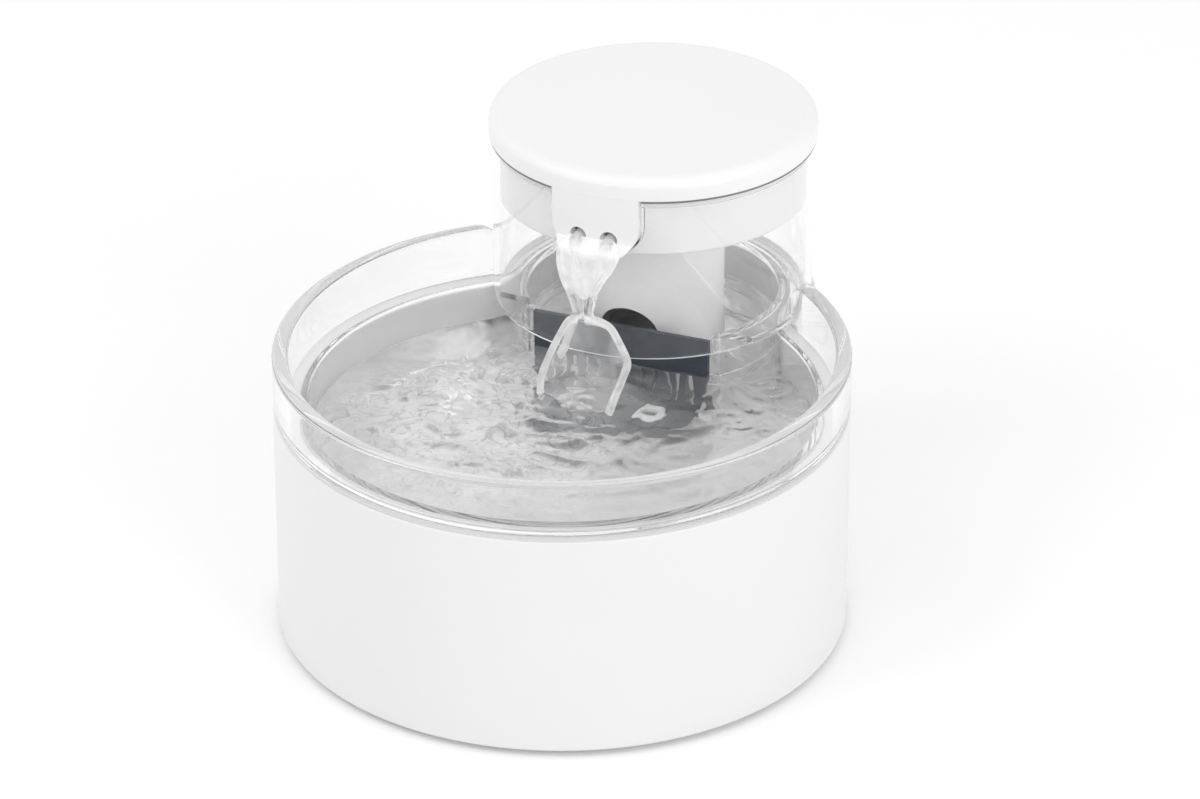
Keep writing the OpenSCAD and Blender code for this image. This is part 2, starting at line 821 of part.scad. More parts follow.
module impeller_bush() {
    color("ivory") at_tower(magnet_z) tube(bush_r, pin_r + running_gap, vane_top_z - magnet_z);
}

module strainer() {
    color([0.17, 0.19, 0.23]) difference() {
        union() {
            translate([-strainer_w / 2, strainer_y - strainer_t, foot_plate_z])
                cube([strainer_w, strainer_t, strainer_top_z - foot_plate_z]);
            slab(foot_plate_z, foot_plate_z + foot_plate_t) {
                for (s = [-1, 1]) translate([s * cup_side, cup_y]) circle(r = strainer_foot_r);
                translate([-cup_side, cup_y - strainer_foot_r])
                    square([2 * cup_side, strainer_foot_r + cup_forward + strainer_t]);
                translate([-cup_side - strainer_foot_r, cup_y])
                    square([2 * (cup_side + strainer_foot_r), cup_forward + strainer_t]);
            }
        }
        for (i = [0:slots - 1])
            translate([(i - (slots - 1) / 2) * slot_pitch - slot_w / 2, strainer_y - strainer_t - 1,
                       slot_low_z]) cube([slot_w, strainer_t + 2, slot_high_z - slot_low_z]);
        for (s = [-1, 1]) translate([s * cup_side, cup_y, foot_plate_z - 1])
            cylinder(r = cup_neck_r + fit_gap / 2, h = foot_plate_t + 2);
    }
}

module suction_cups() {
    color("whitesmoke") for (s = [-1, 1]) translate([s * cup_side, cup_y, 0]) difference() {
        union() {
            translate([0, 0, tub_floor_z]) cylinder(r1 = cup_head_r + 2, r2 = cup_neck_r, h = cup_rest_h);
            translate([0, 0, tub_floor_z]) cylinder(r = cup_neck_r, h = cup_rest_h + foot_plate_t);
            translate([0, 0, foot_plate_z + foot_plate_t]) cylinder(r = cup_head_r, h = cup_head_h);
        }
        translate([0, 0, foot_plate_z]) cylinder(r = cup_hole_r, h = reach);
    }
}

// ---- tower ----

// The skirt's D: a circle cut flat at the front.
module d_outline(r, flat) {
    intersection() {
        circle(r = r);
        translate([-reach, -flat]) square([2 * reach, reach]);
    }
}

// The shield outline of the tongue, standing in the XZ plane and run out along -Y.
module shield(half, top_z, low_z, corner, y_far) {
    rotate([90, 0, 0]) linear_extrude(height = y_far) {
        translate([-half, low_z + corner]) square([2 * half, top_z - low_z - corner]);
        translate([-half + corner, low_z]) square([2 * (half - corner), corner + eps]);
        for (s = [-1, 1]) translate([s * (half - corner), low_z + corner]) circle(r = corner);
    }
}

// The notch that the tongue drops into, cut in the shell and in the tray's wall.
module tongue_notch() {
    shield(tongue_w / 2 + tongue_gap, seam_z + 5, seam_z - tongue_l - lift_gap,
        tongue_corner_r, reach);
}

// The shoulder carries the skirt at the sides and back, and is open in front of the strainer.
module tower_shell() {
    color("lightcyan", 0.4) at_tower() difference() {
        union() {
            translate([0, 0, shell_z]) tube(shell_r, shell_in_r, shell_top_z - shell_z);
            slab(shell_z, shoulder_top_z) difference() {
                d_outline(shell_in_r + eps, skirt_flat - skirt_wall);
                d_outline(skirt_in_r, skirt_flat - skirt_wall);
            }
            slab(skirt_bottom_z, shell_z + eps) difference() {
                d_outline(skirt_r, skirt_flat);
                d_outline(skirt_in_r, skirt_flat - skirt_wall);
            }
        }
        translate([0, 0, lip_z]) cylinder(r = lip_r + fit_gap, h = reach);
        tongue_notch();
        translate([-strainer_w / 2 - lift_gap, -skirt_flat - 1, skirt_bottom_z - 1])
            cube([strainer_w + 2 * lift_gap, skirt_wall + 1.5, shell_z - skirt_bottom_z + 1]);
    }
}

module column() {
    color("white") at_tower() difference() {
        translate([0, 0, foot_plate_z]) tube(column_r, column_in_r, tray_z - foot_plate_z);
        arch_block(arch_r, arch_top_z, 0, 0, reach);
    }
}

module riser_tube() {
    color("whitesmoke") at_tower(eye_top_z + lift_gap) translate([0, riser_back, 0])
        tube(riser_r, riser_in_r, riser_top_z - eye_top_z - lift_gap);
}

module riser_seal() {
    color("gray") at_tower(pump_top_z + lift_gap) translate([0, riser_back, 0])
        tube(riser_r + 2, riser_r + fit_gap / 4, 2);
}

module water_tray() {
    color("white") at_tower() difference() {
        union() {
            translate([0, 0, tray_z]) cylinder(r = tray_r, h = tray_h);
            translate([0, 0, lip_z + fit_gap]) cylinder(r = lip_r, h = tray_lip_h - fit_gap);
        }
        translate([0, 0, tray_floor_z]) cylinder(r = tray_in_r, h = reach);
        translate([0, riser_back, 0]) cylinder(r = riser_r + fit_gap / 4, h = reach);
        difference() {
            tongue_notch();
            cylinder(r = tray_in_r, h = reach);
        }
    }
    color("white") at_tower(tray_floor_z - eps) for (a = [20:40:340]) rotate(a)
        translate([filter_r - 6, -0.8, 0]) cube([5, 1.6, filter_z - tray_floor_z + eps]);
}

module filter_grid(r) {
    n = ceil(r / grid_pitch);
    intersection() {
        circle(r = r);
        union() for (i = [-n:n]) {
            translate([i * grid_pitch - grid_bar / 2, -reach / 2]) square([grid_bar, reach]);
            translate([-reach / 2, i * grid_pitch - grid_bar / 2]) square([reach, grid_bar]);
        }
    }
}

module filter_plate(r_out) {
    difference() {
        union() {
            filter_grid(r_out - 0.5);
            difference() {
                circle(r = r_out);
                circle(r = r_out - filter_wall);
            }
            translate([0, riser_back]) circle(r = filter_hole_r + filter_wall);
        }
        translate([0, riser_back]) circle(r = filter_hole_r);
    }
}

module filter_fill() {
    difference() {
        circle(r = filter_r - filter_wall - fit_gap);
        translate([0, riser_back]) circle(r = filter_hole_r + filter_wall + fit_gap);
    }
}

module filter_frame() {
    color("white") at_tower() {
        slab(filter_z, carbon_z) filter_plate(filter_r);
        translate([0, 0, filter_z]) tube(filter_r, filter_r - filter_wall, filter_cover_z - filter_z);
        translate([0, riser_back, filter_z])
            tube(filter_hole_r + filter_wall, filter_hole_r, filter_cover_z - filter_z);
    }
}

module filter_carbon() {
    color("black") at_tower() slab(carbon_z, foam_z) filter_fill();
}

module filter_foam() {
    color("lightsteelblue") at_tower() slab(foam_z, filter_cover_z) filter_fill();
}

module filter_cover() {
    color("white") at_tower() slab(filter_cover_z, filter_cover_z + filter_cover_t)
        filter_plate(filter_r);
}

// ---- lid ----

module lid_cap() {
    color("white") at_tower() difference() {
        union() {
            difference() {
                rotate_extrude() lid_profile(lid_r, seam_z, lid_top_z, lid_edge_r);
                translate([0, 0, -1]) rotate_extrude() lid_profile(lid_r - lid_wall, seam_z,
                    lid_top_z - lid_wall + 1, max(lid_edge_r - lid_wall, 0.5));
            }
            translate([0, 0, seam_z - lid_plug_h])
                tube(lid_plug_r, lid_plug_r - lid_wall, lid_plug_h + lid_h - lid_wall + eps);
            tongue();
        }
        for (s = [-1, 1]) translate([s * outlet_gap / 2, 0, seam_z - outlet_drop])
            rotate([90, 0, 0]) cylinder(r = outlet_r, h = reach);
    }
}

// Half section of the lid: a disc with a rounded top edge.
module lid_profile(r, z_low, z_high, edge) {
    translate([0, z_low]) square([r, z_high - z_low - edge]);
    translate([0, z_low]) square([r - edge, z_high - z_low]);
    translate([r - edge, z_high - edge]) circle(r = edge);
}

// The tongue below the lid's front edge, with the lip under its two outlets.
module tongue() {
    intersection() {
        shield(tongue_w / 2, seam_z + lid_h - lid_wall, seam_z - tongue_l, tongue_corner_r, reach);
        union() {
            tube(lid_r, tongue_in_r, reach);
            translate([0, 0, seam_z - tongue_l]) tube(lid_r + lip_out, tongue_in_r, lip_h);
        }
    }
}

module lid_seal() {
    color("dimgray") at_tower(shell_top_z) difference() {
        tube(lid_r - fit_gap, lip_r + 2 * fit_gap, lid_seal_t);
        translate([-tongue_w / 2 - tongue_gap, -reach, -1])
            cube([tongue_w + 2 * tongue_gap, reach, lid_seal_t + 2]);
    }
}

base_housing();
bottom_plate();
rubber_feet();
case_screws();
bowl_seal();
motor_can();
motor_end_cap();
stator_core();
stator_coils();
motor_bushes();
motor_bracket();
motor_screws();
circuit_board();
board_screws();
power_jack();
jack_nut();
supply_wires();
motor_wires();
motor_shaft();
rotor_magnet();
magnet_carrier();
drive_magnets();
bowl();
impeller_pin();
pump_housing();
eye_plate();
strainer();
suction_cups();
impeller();
impeller_magnet();
impeller_bush();
tower_shell();
column();
riser_tube();
riser_seal();
water_tray();
filter_frame();
filter_carbon();
filter_foam();
filter_cover();
lid_cap();
lid_seal();
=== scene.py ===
# %% [markdown]
# # A pet water fountain
# The solids of the fountain are already in the scene: a white base with a motor, a clear
# bowl with a pump, a clear tower with a filter, and a white lid with a spout. This lesson
# gives each visible piece its fine shape, fills the bowl with water, and then gives every
# finish its nodes. Lengths are worked out in millimetres and turned into metres at the end.

# %% Load the parts
import bpy, bmesh
from math import radians, sin, cos, tan, pi, sqrt, atan2, acos, hypot, exp
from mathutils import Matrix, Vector, noise
from mathutils.kdtree import KDTree


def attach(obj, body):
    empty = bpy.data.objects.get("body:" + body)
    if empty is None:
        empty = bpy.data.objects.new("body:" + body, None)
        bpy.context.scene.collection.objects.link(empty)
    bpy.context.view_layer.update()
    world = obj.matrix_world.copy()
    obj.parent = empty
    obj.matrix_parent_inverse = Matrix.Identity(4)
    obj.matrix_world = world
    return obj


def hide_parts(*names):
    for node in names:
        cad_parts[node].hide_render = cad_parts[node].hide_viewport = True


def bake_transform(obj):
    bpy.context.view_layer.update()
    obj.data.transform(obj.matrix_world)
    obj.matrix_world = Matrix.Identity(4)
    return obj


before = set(bpy.data.objects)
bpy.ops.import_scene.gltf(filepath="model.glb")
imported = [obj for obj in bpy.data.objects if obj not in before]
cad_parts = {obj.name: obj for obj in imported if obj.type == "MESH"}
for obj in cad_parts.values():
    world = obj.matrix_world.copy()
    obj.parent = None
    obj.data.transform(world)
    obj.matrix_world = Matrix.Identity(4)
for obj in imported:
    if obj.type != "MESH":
        bpy.data.objects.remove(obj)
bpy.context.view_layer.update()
part = {name: bpy.data.objects[name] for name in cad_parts}

# %% [markdown]
# ## The two axes
# Everything is laid out around two upright axes: the bowl's in front and the tower's
# 100 mm behind it. The round corner where the two circles meet is the waist. Heights that
# several pieces share are written down once, here.

# %% Shared sizes
mm = 0.001
bowl_y, tower_y = -26.0, 74.0
axis_gap = tower_y - bowl_y
ledge_z, under_flange = 95.5, 96.1
column_top, tower_top, lid_low = 144.8, 169.4, 170.2
weld, fine_weld = 1e-6, 1e-7  # metres: points closer than this are one point
print("axes:", axis_gap, "mm apart")

# %% [markdown]
# ## One piece at a time
# An operator acts on all that is selected, so each step first takes up its own piece alone.
# A modifier is added, set and applied in one go, which leaves plain geometry behind. Smooth
# shading stops at real edges, and weighted normals keep the flats between them even.

# %% Helpers for selecting, editing and shading
def deselect():
    if bpy.context.object and bpy.context.object.mode != "OBJECT":
        bpy.ops.object.mode_set(mode="OBJECT")
    bpy.ops.object.select_all(action="DESELECT")


def take(piece):
    deselect()
    piece.select_set(True)
    bpy.context.view_layer.objects.active = piece


def edit(piece):
    take(piece)
    bpy.ops.object.mode_set(mode="EDIT")
    bpy.ops.mesh.select_all(action="SELECT")


def face_out(piece):
    edit(piece)
    bpy.ops.mesh.normals_make_consistent(inside=False)
    bpy.ops.object.mode_set(mode="OBJECT")


def modify(piece, kind, **settings):
    take(piece)
    bpy.ops.object.modifier_add(type=kind)
    step = piece.modifiers[-1]
    for name, value in settings.items():
        setattr(step, name, value)
    bpy.ops.object.modifier_apply(modifier=step.name)
    return piece


def soften(piece, degrees=35, even=False):
    take(piece)
    bpy.ops.object.shade_smooth_by_angle(angle=radians(degrees))
    if even:
        modify(piece, "WEIGHTED_NORMAL", keep_sharp=True)
    return piece


# %% [markdown]
# ## Camera
# A long lens from the front, a little to the right and well above, shows the bowl's mouth
# and the face of the tower at once. From more than two metres away the circles keep their
# shape, with little perspective.

# %% Camera
camera_place = (0.7542, -1.8927, 1.1775)
tilt, heading = radians(61.749), radians(21.571)
bpy.ops.object.camera_add(location=camera_place, rotation=(tilt, 0, heading))
camera = bpy.context.object
camera.name = "studio_camera"
camera.data.lens, camera.data.sensor_width, camera.data.clip_end = 172.2, 36, 20
bpy.context.scene.camera = camera
print("camera:", round(Vector(camera_place).length, 2), "m away")

# %% [markdown]
# ## Rounded corners
# A moulded part has no knife edges. Its section is drawn with sharp corners first, each
# with a radius, and this function lays a short arc on every corner. A corner may hold more
# than two numbers, because the keyhole outline needs three radii and a height; the first
# and the last number are the ones that measure the turn. A hold adds one more point just
# beside each arc, so that smooth shading leaves the long flats alone.

# %% Round the corners of a section
most_of_side = 0.48  # an arc takes no more than this share of the side next to it


def rounded(corners, steps=4, hold=0.0, closed=False):
    path = []
    count = len(corners)
    for i, corner in enumerate(corners):
        p, r = Vector(corner[:-1]), corner[-1]
        if r <= 0 or (not closed and i in (0, count - 1)):
            path.append(p)
            continue
        a = p - Vector(corners[i - 1][:-1])
        b = Vector(corners[(i + 1) % count][:-1]) - p
        la, lb = hypot(a[0], a[-1]), hypot(b[0], b[-1])
        u, v = a / la, b / lb
        bend = acos(max(-1, min(1, u[0] * v[0] + u[-1] * v[-1])))
        t = min(r * tan(bend / 2), la * most_of_side, lb * most_of_side)
        r = t / tan(bend / 2)
        start = p - u * t
        if hold and la > 2 * (t + hold):
            path.append(start - u * hold)
        for k in range(steps + 1):
            f = bend * k / steps
            inwards = (v - u * cos(bend)) * (r * (1 - cos(f)) / sin(bend))
            path.append(start + u * (r * sin(f)) + inwards)
        if hold and lb > 2 * (t + hold):
            path.append(p + v * (t + hold))
    return path


# %% [markdown]
# ## Outlines
# Seen from above, the base and the bowl are a keyhole: a large circle, a small circle
# behind it, and a hollow fillet on each side. The tower's skirt is a D, a circle with a
# flat at the front. The points always come in the same order and number, so that one
# outline can be joined to the next without a twist.

# %% Keyhole and D outlines
def keyhole(rb, rt, rf, bowl_steps=90, waist_steps=8, lobe_steps=48):
    a, b = rb + rf, rt + rf
    cy = (a * a - b * b + axis_gap ** 2) / (2 * axis_gap)
    cx = sqrt(a * a - cy * cy)
    at_bowl, at_lobe = atan2(cy, cx), atan2(cy - axis_gap, cx)
    right = []
    for i in range(bowl_steps + 1):
        f = -pi / 2 + (at_bowl + pi / 2) * i / bowl_steps
        right.append((rb * cos(f), bowl_y + rb * sin(f)))
    for i in range(1, waist_steps):
        f = at_bowl + pi + (at_lobe - at_bowl) * i / waist_steps
        right.append((cx + rf * cos(f), bowl_y + cy + rf * sin(f)))
    for i in range(lobe_steps + 1):
        f = at_lobe + (pi / 2 - at_lobe) * i / lobe_steps
        right.append((rt * cos(f), tower_y + rt * sin(f)))
    return right + [(-x, y) for x, y in reversed(right[1:-1])]


def keyhole_ring(section):
    rb, rt, rf, z = section
    return [(x, y, z) for x, y in keyhole(rb, rt, rf)]


def drawn_in(outline, by):
    return outline[0] - by, outline[1] - by, outline[2] + by


def d_ring(section, steps=192, faces_front=0.05):
    r, flat, z = section
    ring = []
    for i in range(steps):
        f = 2 * pi * i / steps
        reach = min(r, flat / cos(f)) if cos(f) > faces_front else r
        ring.append((reach * sin(f), tower_y - reach * cos(f), z))
    return ring


# %% [markdown]
# ## Growing and turning a wall
# A wall on a free outline can't be spun on a lathe. It is grown as by hand instead: a
# circle is laid on the first outline, its edge is extruded, and the new edge is laid on
# the next outline. Every point carries its number along, so it knows its place. A round
# piece is easier: its section is drawn point by point and spun once around its axis.

# %% Grow and turn
def grow(name, rings, closed=False):
    deselect()
    bpy.ops.mesh.primitive_circle_add(vertices=len(rings[0]), radius=0.1)
    piece = bpy.context.object
    piece.name = piece.data.name = name
    number = piece.data.attributes.new("number", "INT", "POINT")
    for i, point in enumerate(rings[0]):
        piece.data.vertices[i].co = Vector(point) * mm
        number.data[i].value = i
    edit(piece)
    if not closed:
        bpy.ops.mesh.edge_face_add()
    for ring in rings[1:] + (rings[:1] if closed else []):
        bpy.ops.mesh.extrude_edges_move()
        shape = bmesh.from_edit_mesh(piece.data)
        layer = shape.verts.layers.int["number"]
        for v in shape.verts:
            if v.select:
                v.co = Vector(ring[v[layer]]) * mm
        bmesh.update_edit_mesh(piece.data)
    if not closed:
        bpy.ops.mesh.edge_face_add()
    bpy.ops.mesh.select_all(action="SELECT")
    bpy.ops.mesh.remove_doubles(threshold=fine_weld)
    face_out(piece)
    piece.data.attributes.remove(piece.data.attributes["number"])
    return soften(piece)


def turn(name, section, centre=(0.0, tower_y), steps=144, closed=True):
    deselect()
    bpy.ops.mesh.primitive_plane_add(size=mm)
    piece = bpy.context.object
    piece.name = piece.data.name = name
    edit(piece)
    bpy.ops.mesh.merge(type="CENTER")
    points = [Vector((centre[0] + r, centre[1], z)) * mm for r, z in section]
    bpy.ops.transform.translate(value=points[0])
    for a, b in zip(points, points[1:] + (points[:1] if closed else [])):
        bpy.ops.mesh.extrude_vertices_move(TRANSFORM_OT_translate={"value": b - a})
    bpy.ops.mesh.select_all(action="SELECT")
    bpy.ops.mesh.remove_doubles(threshold=fine_weld)
    bpy.ops.mesh.spin(steps=steps, angle=2 * pi, center=(centre[0] * mm, centre[1] * mm, 0),
                      axis=(0, 0, 1))
    bpy.ops.mesh.select_all(action="SELECT")
    bpy.ops.mesh.remove_doubles(threshold=weld)
    face_out(piece)
    return soften(piece)


# %% [markdown]
# ## Cutting tools
# Notches, holes and slots are cut with plain blocks and bars, as on a milling machine.
# The block's lower edges can be rounded first, which gives the tongue its shield shape. A
# finished piece is told which body it rides on, and the solids of the model that it stands
# for are hidden.

# %% Blocks, bars and the cut itself
def bevel_edges(piece, width, steps, chosen):
    take(piece)
    bpy.ops.object.mode_set(mode="EDIT")
    bpy.ops.mesh.select_mode(type="EDGE")
    bpy.ops.mesh.select_all(action="DESELECT")
    shape = bmesh.from_edit_mesh(piece.data)
    for e in shape.edges:
        if chosen(e.verts[0].co, e.verts[1].co):
            e.select_set(True)
    bmesh.update_edit_mesh(piece.data)
    bpy.ops.mesh.bevel(offset=width * mm, segments=steps, affect="EDGES")
    bpy.ops.mesh.select_mode(type="VERT")
    bpy.ops.object.mode_set(mode="OBJECT")


def block(name, low, high, corner=0.0, corner_steps=10):
    deselect()
    low, high = Vector(low), Vector(high)
    bpy.ops.mesh.primitive_cube_add(size=1)
    piece = bpy.context.object
    piece.name = piece.data.name = name
    edit(piece)
    bpy.ops.transform.resize(value=(high - low) * mm)
    bpy.ops.transform.translate(value=(high + low) / 2 * mm)
    bpy.ops.object.mode_set(mode="OBJECT")
    if corner:
        bottom = (low.z + 0.01) * mm
        bevel_edges(piece, corner, corner_steps,
                    lambda a, b: abs(a.y - b.y) > weld and max(a.z, b.z) < bottom)
    return piece


def bar(name, r, start, end, steps=48):
    start, end = Vector(start) * mm, Vector(end) * mm
    deselect()
    bpy.ops.mesh.primitive_cylinder_add(vertices=steps, radius=r * mm, depth=(end - start).length,
                                        location=(start + end) / 2,
                                        rotation=(end - start).to_track_quat("Z", "Y").to_euler())
    bpy.ops.object.transform_apply(location=True, rotation=True, scale=True)
    piece = bpy.context.object
    piece.name = piece.data.name = name
    return piece


def combine(piece, tool, operation="DIFFERENCE"):
    modify(piece, "BOOLEAN", operation=operation, solver="EXACT", object=tool)
    bpy.data.objects.remove(tool)
    return piece


def finish_piece(piece, body, slot, *nodes):
    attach(piece, body)
    if nodes:
        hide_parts(*nodes)
    print(f"{piece.name}: {len(piece.data.polygons)} faces")
    return piece


# %% [markdown]
# ## The white base
# One moulding holds the motor below and hangs the bowl above: an outer wall, a narrow ledge
# and a deep well that follows the tub. It could be two walls joined by a boolean, but one
# section grown along the keyhole gives clean rounded edges, so it is drawn in one go. The
# power socket at the back sits in a hole with a shallow seat.

# %% Base housing
well = (104.6, 59.6, 22.4)  # radius of the bowl's circle, the tower's circle and the fillet
outside = (115.0, 67.0, 12.0)
inside = (112.4, 64.4, 14.6)
skin = (107.2, 62.2, 19.8)
base_low, well_floor, wall, floor_reach = 2.0, 39.5, 3.0, 30
section = rounded([
    (*drawn_in(well, floor_reach), well_floor, 0), (*well, well_floor, 2.0), (*well, ledge_z, 0.6),
    (*outside, ledge_z, 0.8), (*outside, base_low, 1.4), (*inside, base_low, 0.4),
    (*inside, ledge_z - wall, 1.0), (*skin, ledge_z - wall, 1.0), (*skin, well_floor - wall, 1.0),
    (*drawn_in(skin, floor_reach), well_floor - wall, 0)], hold=0.5)
base = grow("base_moulding", [keyhole_ring(s) for s in section])
socket_z = 20
for name, r, front in (("flange_seat", 7.6, 138.6), ("barrel_hole", 5.6, 128.6)):
    combine(base, bar(name, r, (0, front, socket_z), (0, 150, socket_z)))
soften(base, even=True)
finish_piece(base, "base", "white_plastic", "base_housing")

# %% [markdown]
# ## The clear bowl
# The tub, its flange and the floor are one wall, so they are grown like the base. Every
# corner is round, because a clear wall shows a sharp corner as a hard black line.

# %% Tub and flange
tub, lining, flange = (104.0, 59.0, 23.0), (101.5, 56.5, 25.5), (114.9, 66.9, 12.1)
tub_low, tub_floor, flange_top = 40.0, 43.0, 98.6
section = rounded([
    (*drawn_in(tub, floor_reach), tub_low, 0), (*tub, tub_low, 3.5), (*tub, under_flange, 0.3),
    (*flange, under_flange, 0.3), (*flange, flange_top, 0.5), (*lining, flange_top, 0.5),
    (*lining, tub_floor, 4.0), (*drawn_in(lining, floor_reach - 5), tub_floor, 0)], steps=5, hold=0.6)
bowl = grow("clear_bowl", [keyhole_ring(s) for s in section])
print("flange:", round(flange_top - under_flange, 1), "mm thick")

# %% [markdown]
# ## The rim
# The rim stands on the flange only around the front and stops beside the tower with a
# round shoulder. Its section is a thick wall with a soft crown. It is grown along its arc
# from one end to the middle, mirrored for the other half, and joined to the flange. Near
# its ends the section leans, so that the end faces run along the tower.

# %% Rim
rim_out, rim_in, rim_top, rim_low, rim_gap = 115.0, 108.5, 120.0, 97.4, 66.35
middle, half_wall = (rim_out + rim_in) / 2, (rim_out - rim_in) / 2
end_reach, crown_rise, arc_steps = 20, 0.35, 6


def end_angle(r):
    return acos((r * r + axis_gap ** 2 - rim_gap ** 2) / (2 * r * axis_gap))


def quarter(r, along):
    return r - sqrt(max(0.0, r ** 2 - (r - min(along, r)) ** 2))


def rim_section(along, shoulder=9.0, edge=0.9, corner=1.7):
    top, half = rim_top - quarter(shoulder, along), half_wall - quarter(edge, along)
    r = min(corner, half)
    base_z, waist_z = top - r - crown_rise, (rim_low + top) / 2
    arc = [pi * k / (2 * arc_steps) for k in range(arc_steps + 1)]
    outline = [(half, rim_low), (half, waist_z)]
    outline += [(half - r + r * cos(f), base_z + r * sin(f)) for f in arc]
    outline += [(0.0, top)]
    outline += [(r - half - r * sin(f), base_z + r * cos(f)) for f in arc]
    outline += [(-half, waist_z), (-half, rim_low)]
    ring = []
    for out, z in outline:
        r = middle + out
        lean = max(0.0, 1 - along / end_reach) * (end_angle(r) - end_angle(middle))
        f = end_angle(middle) + along / middle + lean
        ring.append((r * sin(f), bowl_y + r * cos(f), z))
    return ring


rim_length = (2 * pi - 2 * end_angle(middle)) * middle
long_reach, long_steps = rim_length / 2 - end_reach, 72
stations = [0.0, 0.1, 0.35, 0.9, 1.8, 3.0, 4.6, 6.6, 9.0, 12.0, 16.0, end_reach]
stations += [end_reach + long_reach * k / long_steps for k in range(1, long_steps + 1)]
rings = [rim_section(s) for s in stations]
rings += [[(-x, y, z) for x, y, z in ring] for ring in reversed(rings[:-1])]
combine(bowl, grow("rim", rings), "UNION")
soften(bowl, 40, even=True)
finish_piece(bowl, "bowl", "clear_plastic", "bowl")

# %% [markdown]
# ## The seal under the flange
# A soft ring lies on the ledge and carries the bowl. A seal that is pressed on wets the
# plastic, and no air is left between. Its top is drawn six hundredths of a millimetre into
# the flange for that reason: a film of air would mirror the lamps along the whole ring.

# %% Seal under the flange
seal_out, seal_in, seal_top = (114.4, 66.4, 12.6), (110.3, 62.3, 16.7), 96.16
corners = ((seal_out, ledge_z), (seal_in, ledge_z), (seal_in, seal_top), (seal_out, seal_top))
section = rounded([(*outline, z, 0.1) for outline, z in corners], steps=2, closed=True)
seal = grow("bowl_seal_ring", [keyhole_ring(s) for s in section], closed=True)
finish_piece(seal, "base", "grey_silicone", "bowl_seal")

# %% [markdown]
# ## The clear tower
# The shell is a plain round wall above. Below it hangs a D-shaped skirt that finds its place
# in the tub, and a narrow shoulder joins the two behind the strainer. The wall and the
# skirt are each grown from their own section, because their outlines differ, and the
# shoulder is cut open at the front before they are joined. The lid's tongue hangs in a
# notch, which the tray and the seam have as well.

# %% Tower shell
shell_low, tray_seat, skirt_low, shoulder_top = 98.9, 166.4, 72.0, 101.4


def notch(name, front=-10, low=144.9, corner=12.0):
    return block(name, (-19.3, front, low), (19.3, 60, 180), corner)


shell = grow("clear_shell", [d_ring(s) for s in rounded([
    (65.6, 65.6, tower_top, 0.4), (65.6, 65.6, shell_low, 1.0), (63.1, 63.1, shell_low, 0.8),
    (63.1, 63.1, tray_seat, 0.2), (63.6, 63.6, tray_seat, 0.2), (63.6, 63.6, tower_top, 0.3)],
    hold=0.5, closed=True)], closed=True)
skirt = grow("skirt", [d_ring(s) for s in rounded([
    (64.2, 64.2, shoulder_top, 0), (64.2, 64.2, shell_low, 0), (54.0, 34.0, shell_low, 0.8),
    (54.0, 34.0, skirt_low, 0.9), (51.8, 31.8, skirt_low, 0.9), (51.8, 31.8, shoulder_top, 1.2)],
    hold=0.5, closed=True)], closed=True)
combine(skirt, block("open_front", (-80, -10, 98.4), (80, 42.2, 110)))
combine(skirt, block("strainer_opening", (-38.25, 39, 71), (38.25, 42.7, shell_low)))
combine(shell, skirt, "UNION")
combine(shell, notch("tongue_notch"))
soften(shell, 40, even=True)
finish_piece(shell, "tower", "clear_plastic", "tower_shell")

# %% [markdown]
# ## The column
# The white column hides the riser tube and stands over the pump. An arch at its foot lets
# the water in. It is a turned pipe, and the arch is a block with a round bar on top.

# %% Column
def arch(name, half, low, springing=90):
    crown = bar(name + "_crown", half, (0, 30, springing), (0, tower_y, springing))
    return combine(block(name, (-half, 30, low), (half, tower_y, springing)), crown, "UNION")


pipe = turn("white_column", rounded([
    (29.5, column_top, 0.3), (29.5, 45.4, 0.6), (27.3, 45.4, 0.6), (27.3, column_top, 0.3)],
    hold=0.4, closed=True))
combine(pipe, arch("arch", 13, 0))
soften(pipe, 40, even=True)
finish_piece(pipe, "tower", "column_plastic", "column")

# %% [markdown]
# ## The tray
# The tray closes the tower at the top, hangs in the shell by its brim and holds the filter.
# It is turned as one cup. The notch for the tongue only goes through its wall, so the
# cutting block is first emptied with a bar of the tray's inner size.

# %% Tray
tray_in, riser_y = 60.5, tower_y + 15.8
tray = turn("filter_tray", rounded([
    (0, column_top, 0), (62.5, column_top, 1.2), (62.5, 166.5, 0.2), (63.5, 166.5, 0.2),
    (63.5, tower_top, 0.4), (tray_in, tower_top, 0.4), (tray_in, 146.8, 1.2), (0, 146.8, 0)],
    hold=0.5), closed=False)
wall_notch = notch("tray_notch", front=0)
combine(wall_notch, bar("tray_room", tray_in, (0, tower_y, 100), (0, tower_y, 200), 144))
combine(tray, wall_notch)
combine(tray, bar("riser_hole", 6.05, (0, riser_y, 140), (0, riser_y, 150)))
soften(tray, 40, even=True)
finish_piece(tray, "tower", "column_plastic", "water_tray")

# %% [markdown]
# ## The lid
# The cap is a turned disc with a soft top edge. A ring below it centres it in the tray.

# %% Lid
lid = turn("white_lid", rounded([
    (0, 180.0, 0), (67.0, 180.0, 4.5), (67.0, lid_low, 0.6), (64.6, lid_low, 0.4), (64.6, 177.6, 2.1),
    (59.9, 177.6, 0.5), (59.9, 163.2, 0.4), (57.5, 163.2, 0.4), (57.5, 177.6, 0.5), (0, 177.6, 0)],
    steps=6, hold=0.6), closed=False, steps=180)
print("lid:", len(lid.data.polygons), "faces before the tongue")

# %% [markdown]
# ## The tongue
# The tongue guides the water into the bowl. It could be a trimmed piece of a wider ring,
# but a fine grid pressed into the shield's outline, wrapped round the tower and given its
# thickness by an extrude takes the soft lip at its foot better. A bevel rounds its edges,
# it is joined to the cap, and the two outlets are drilled through it.

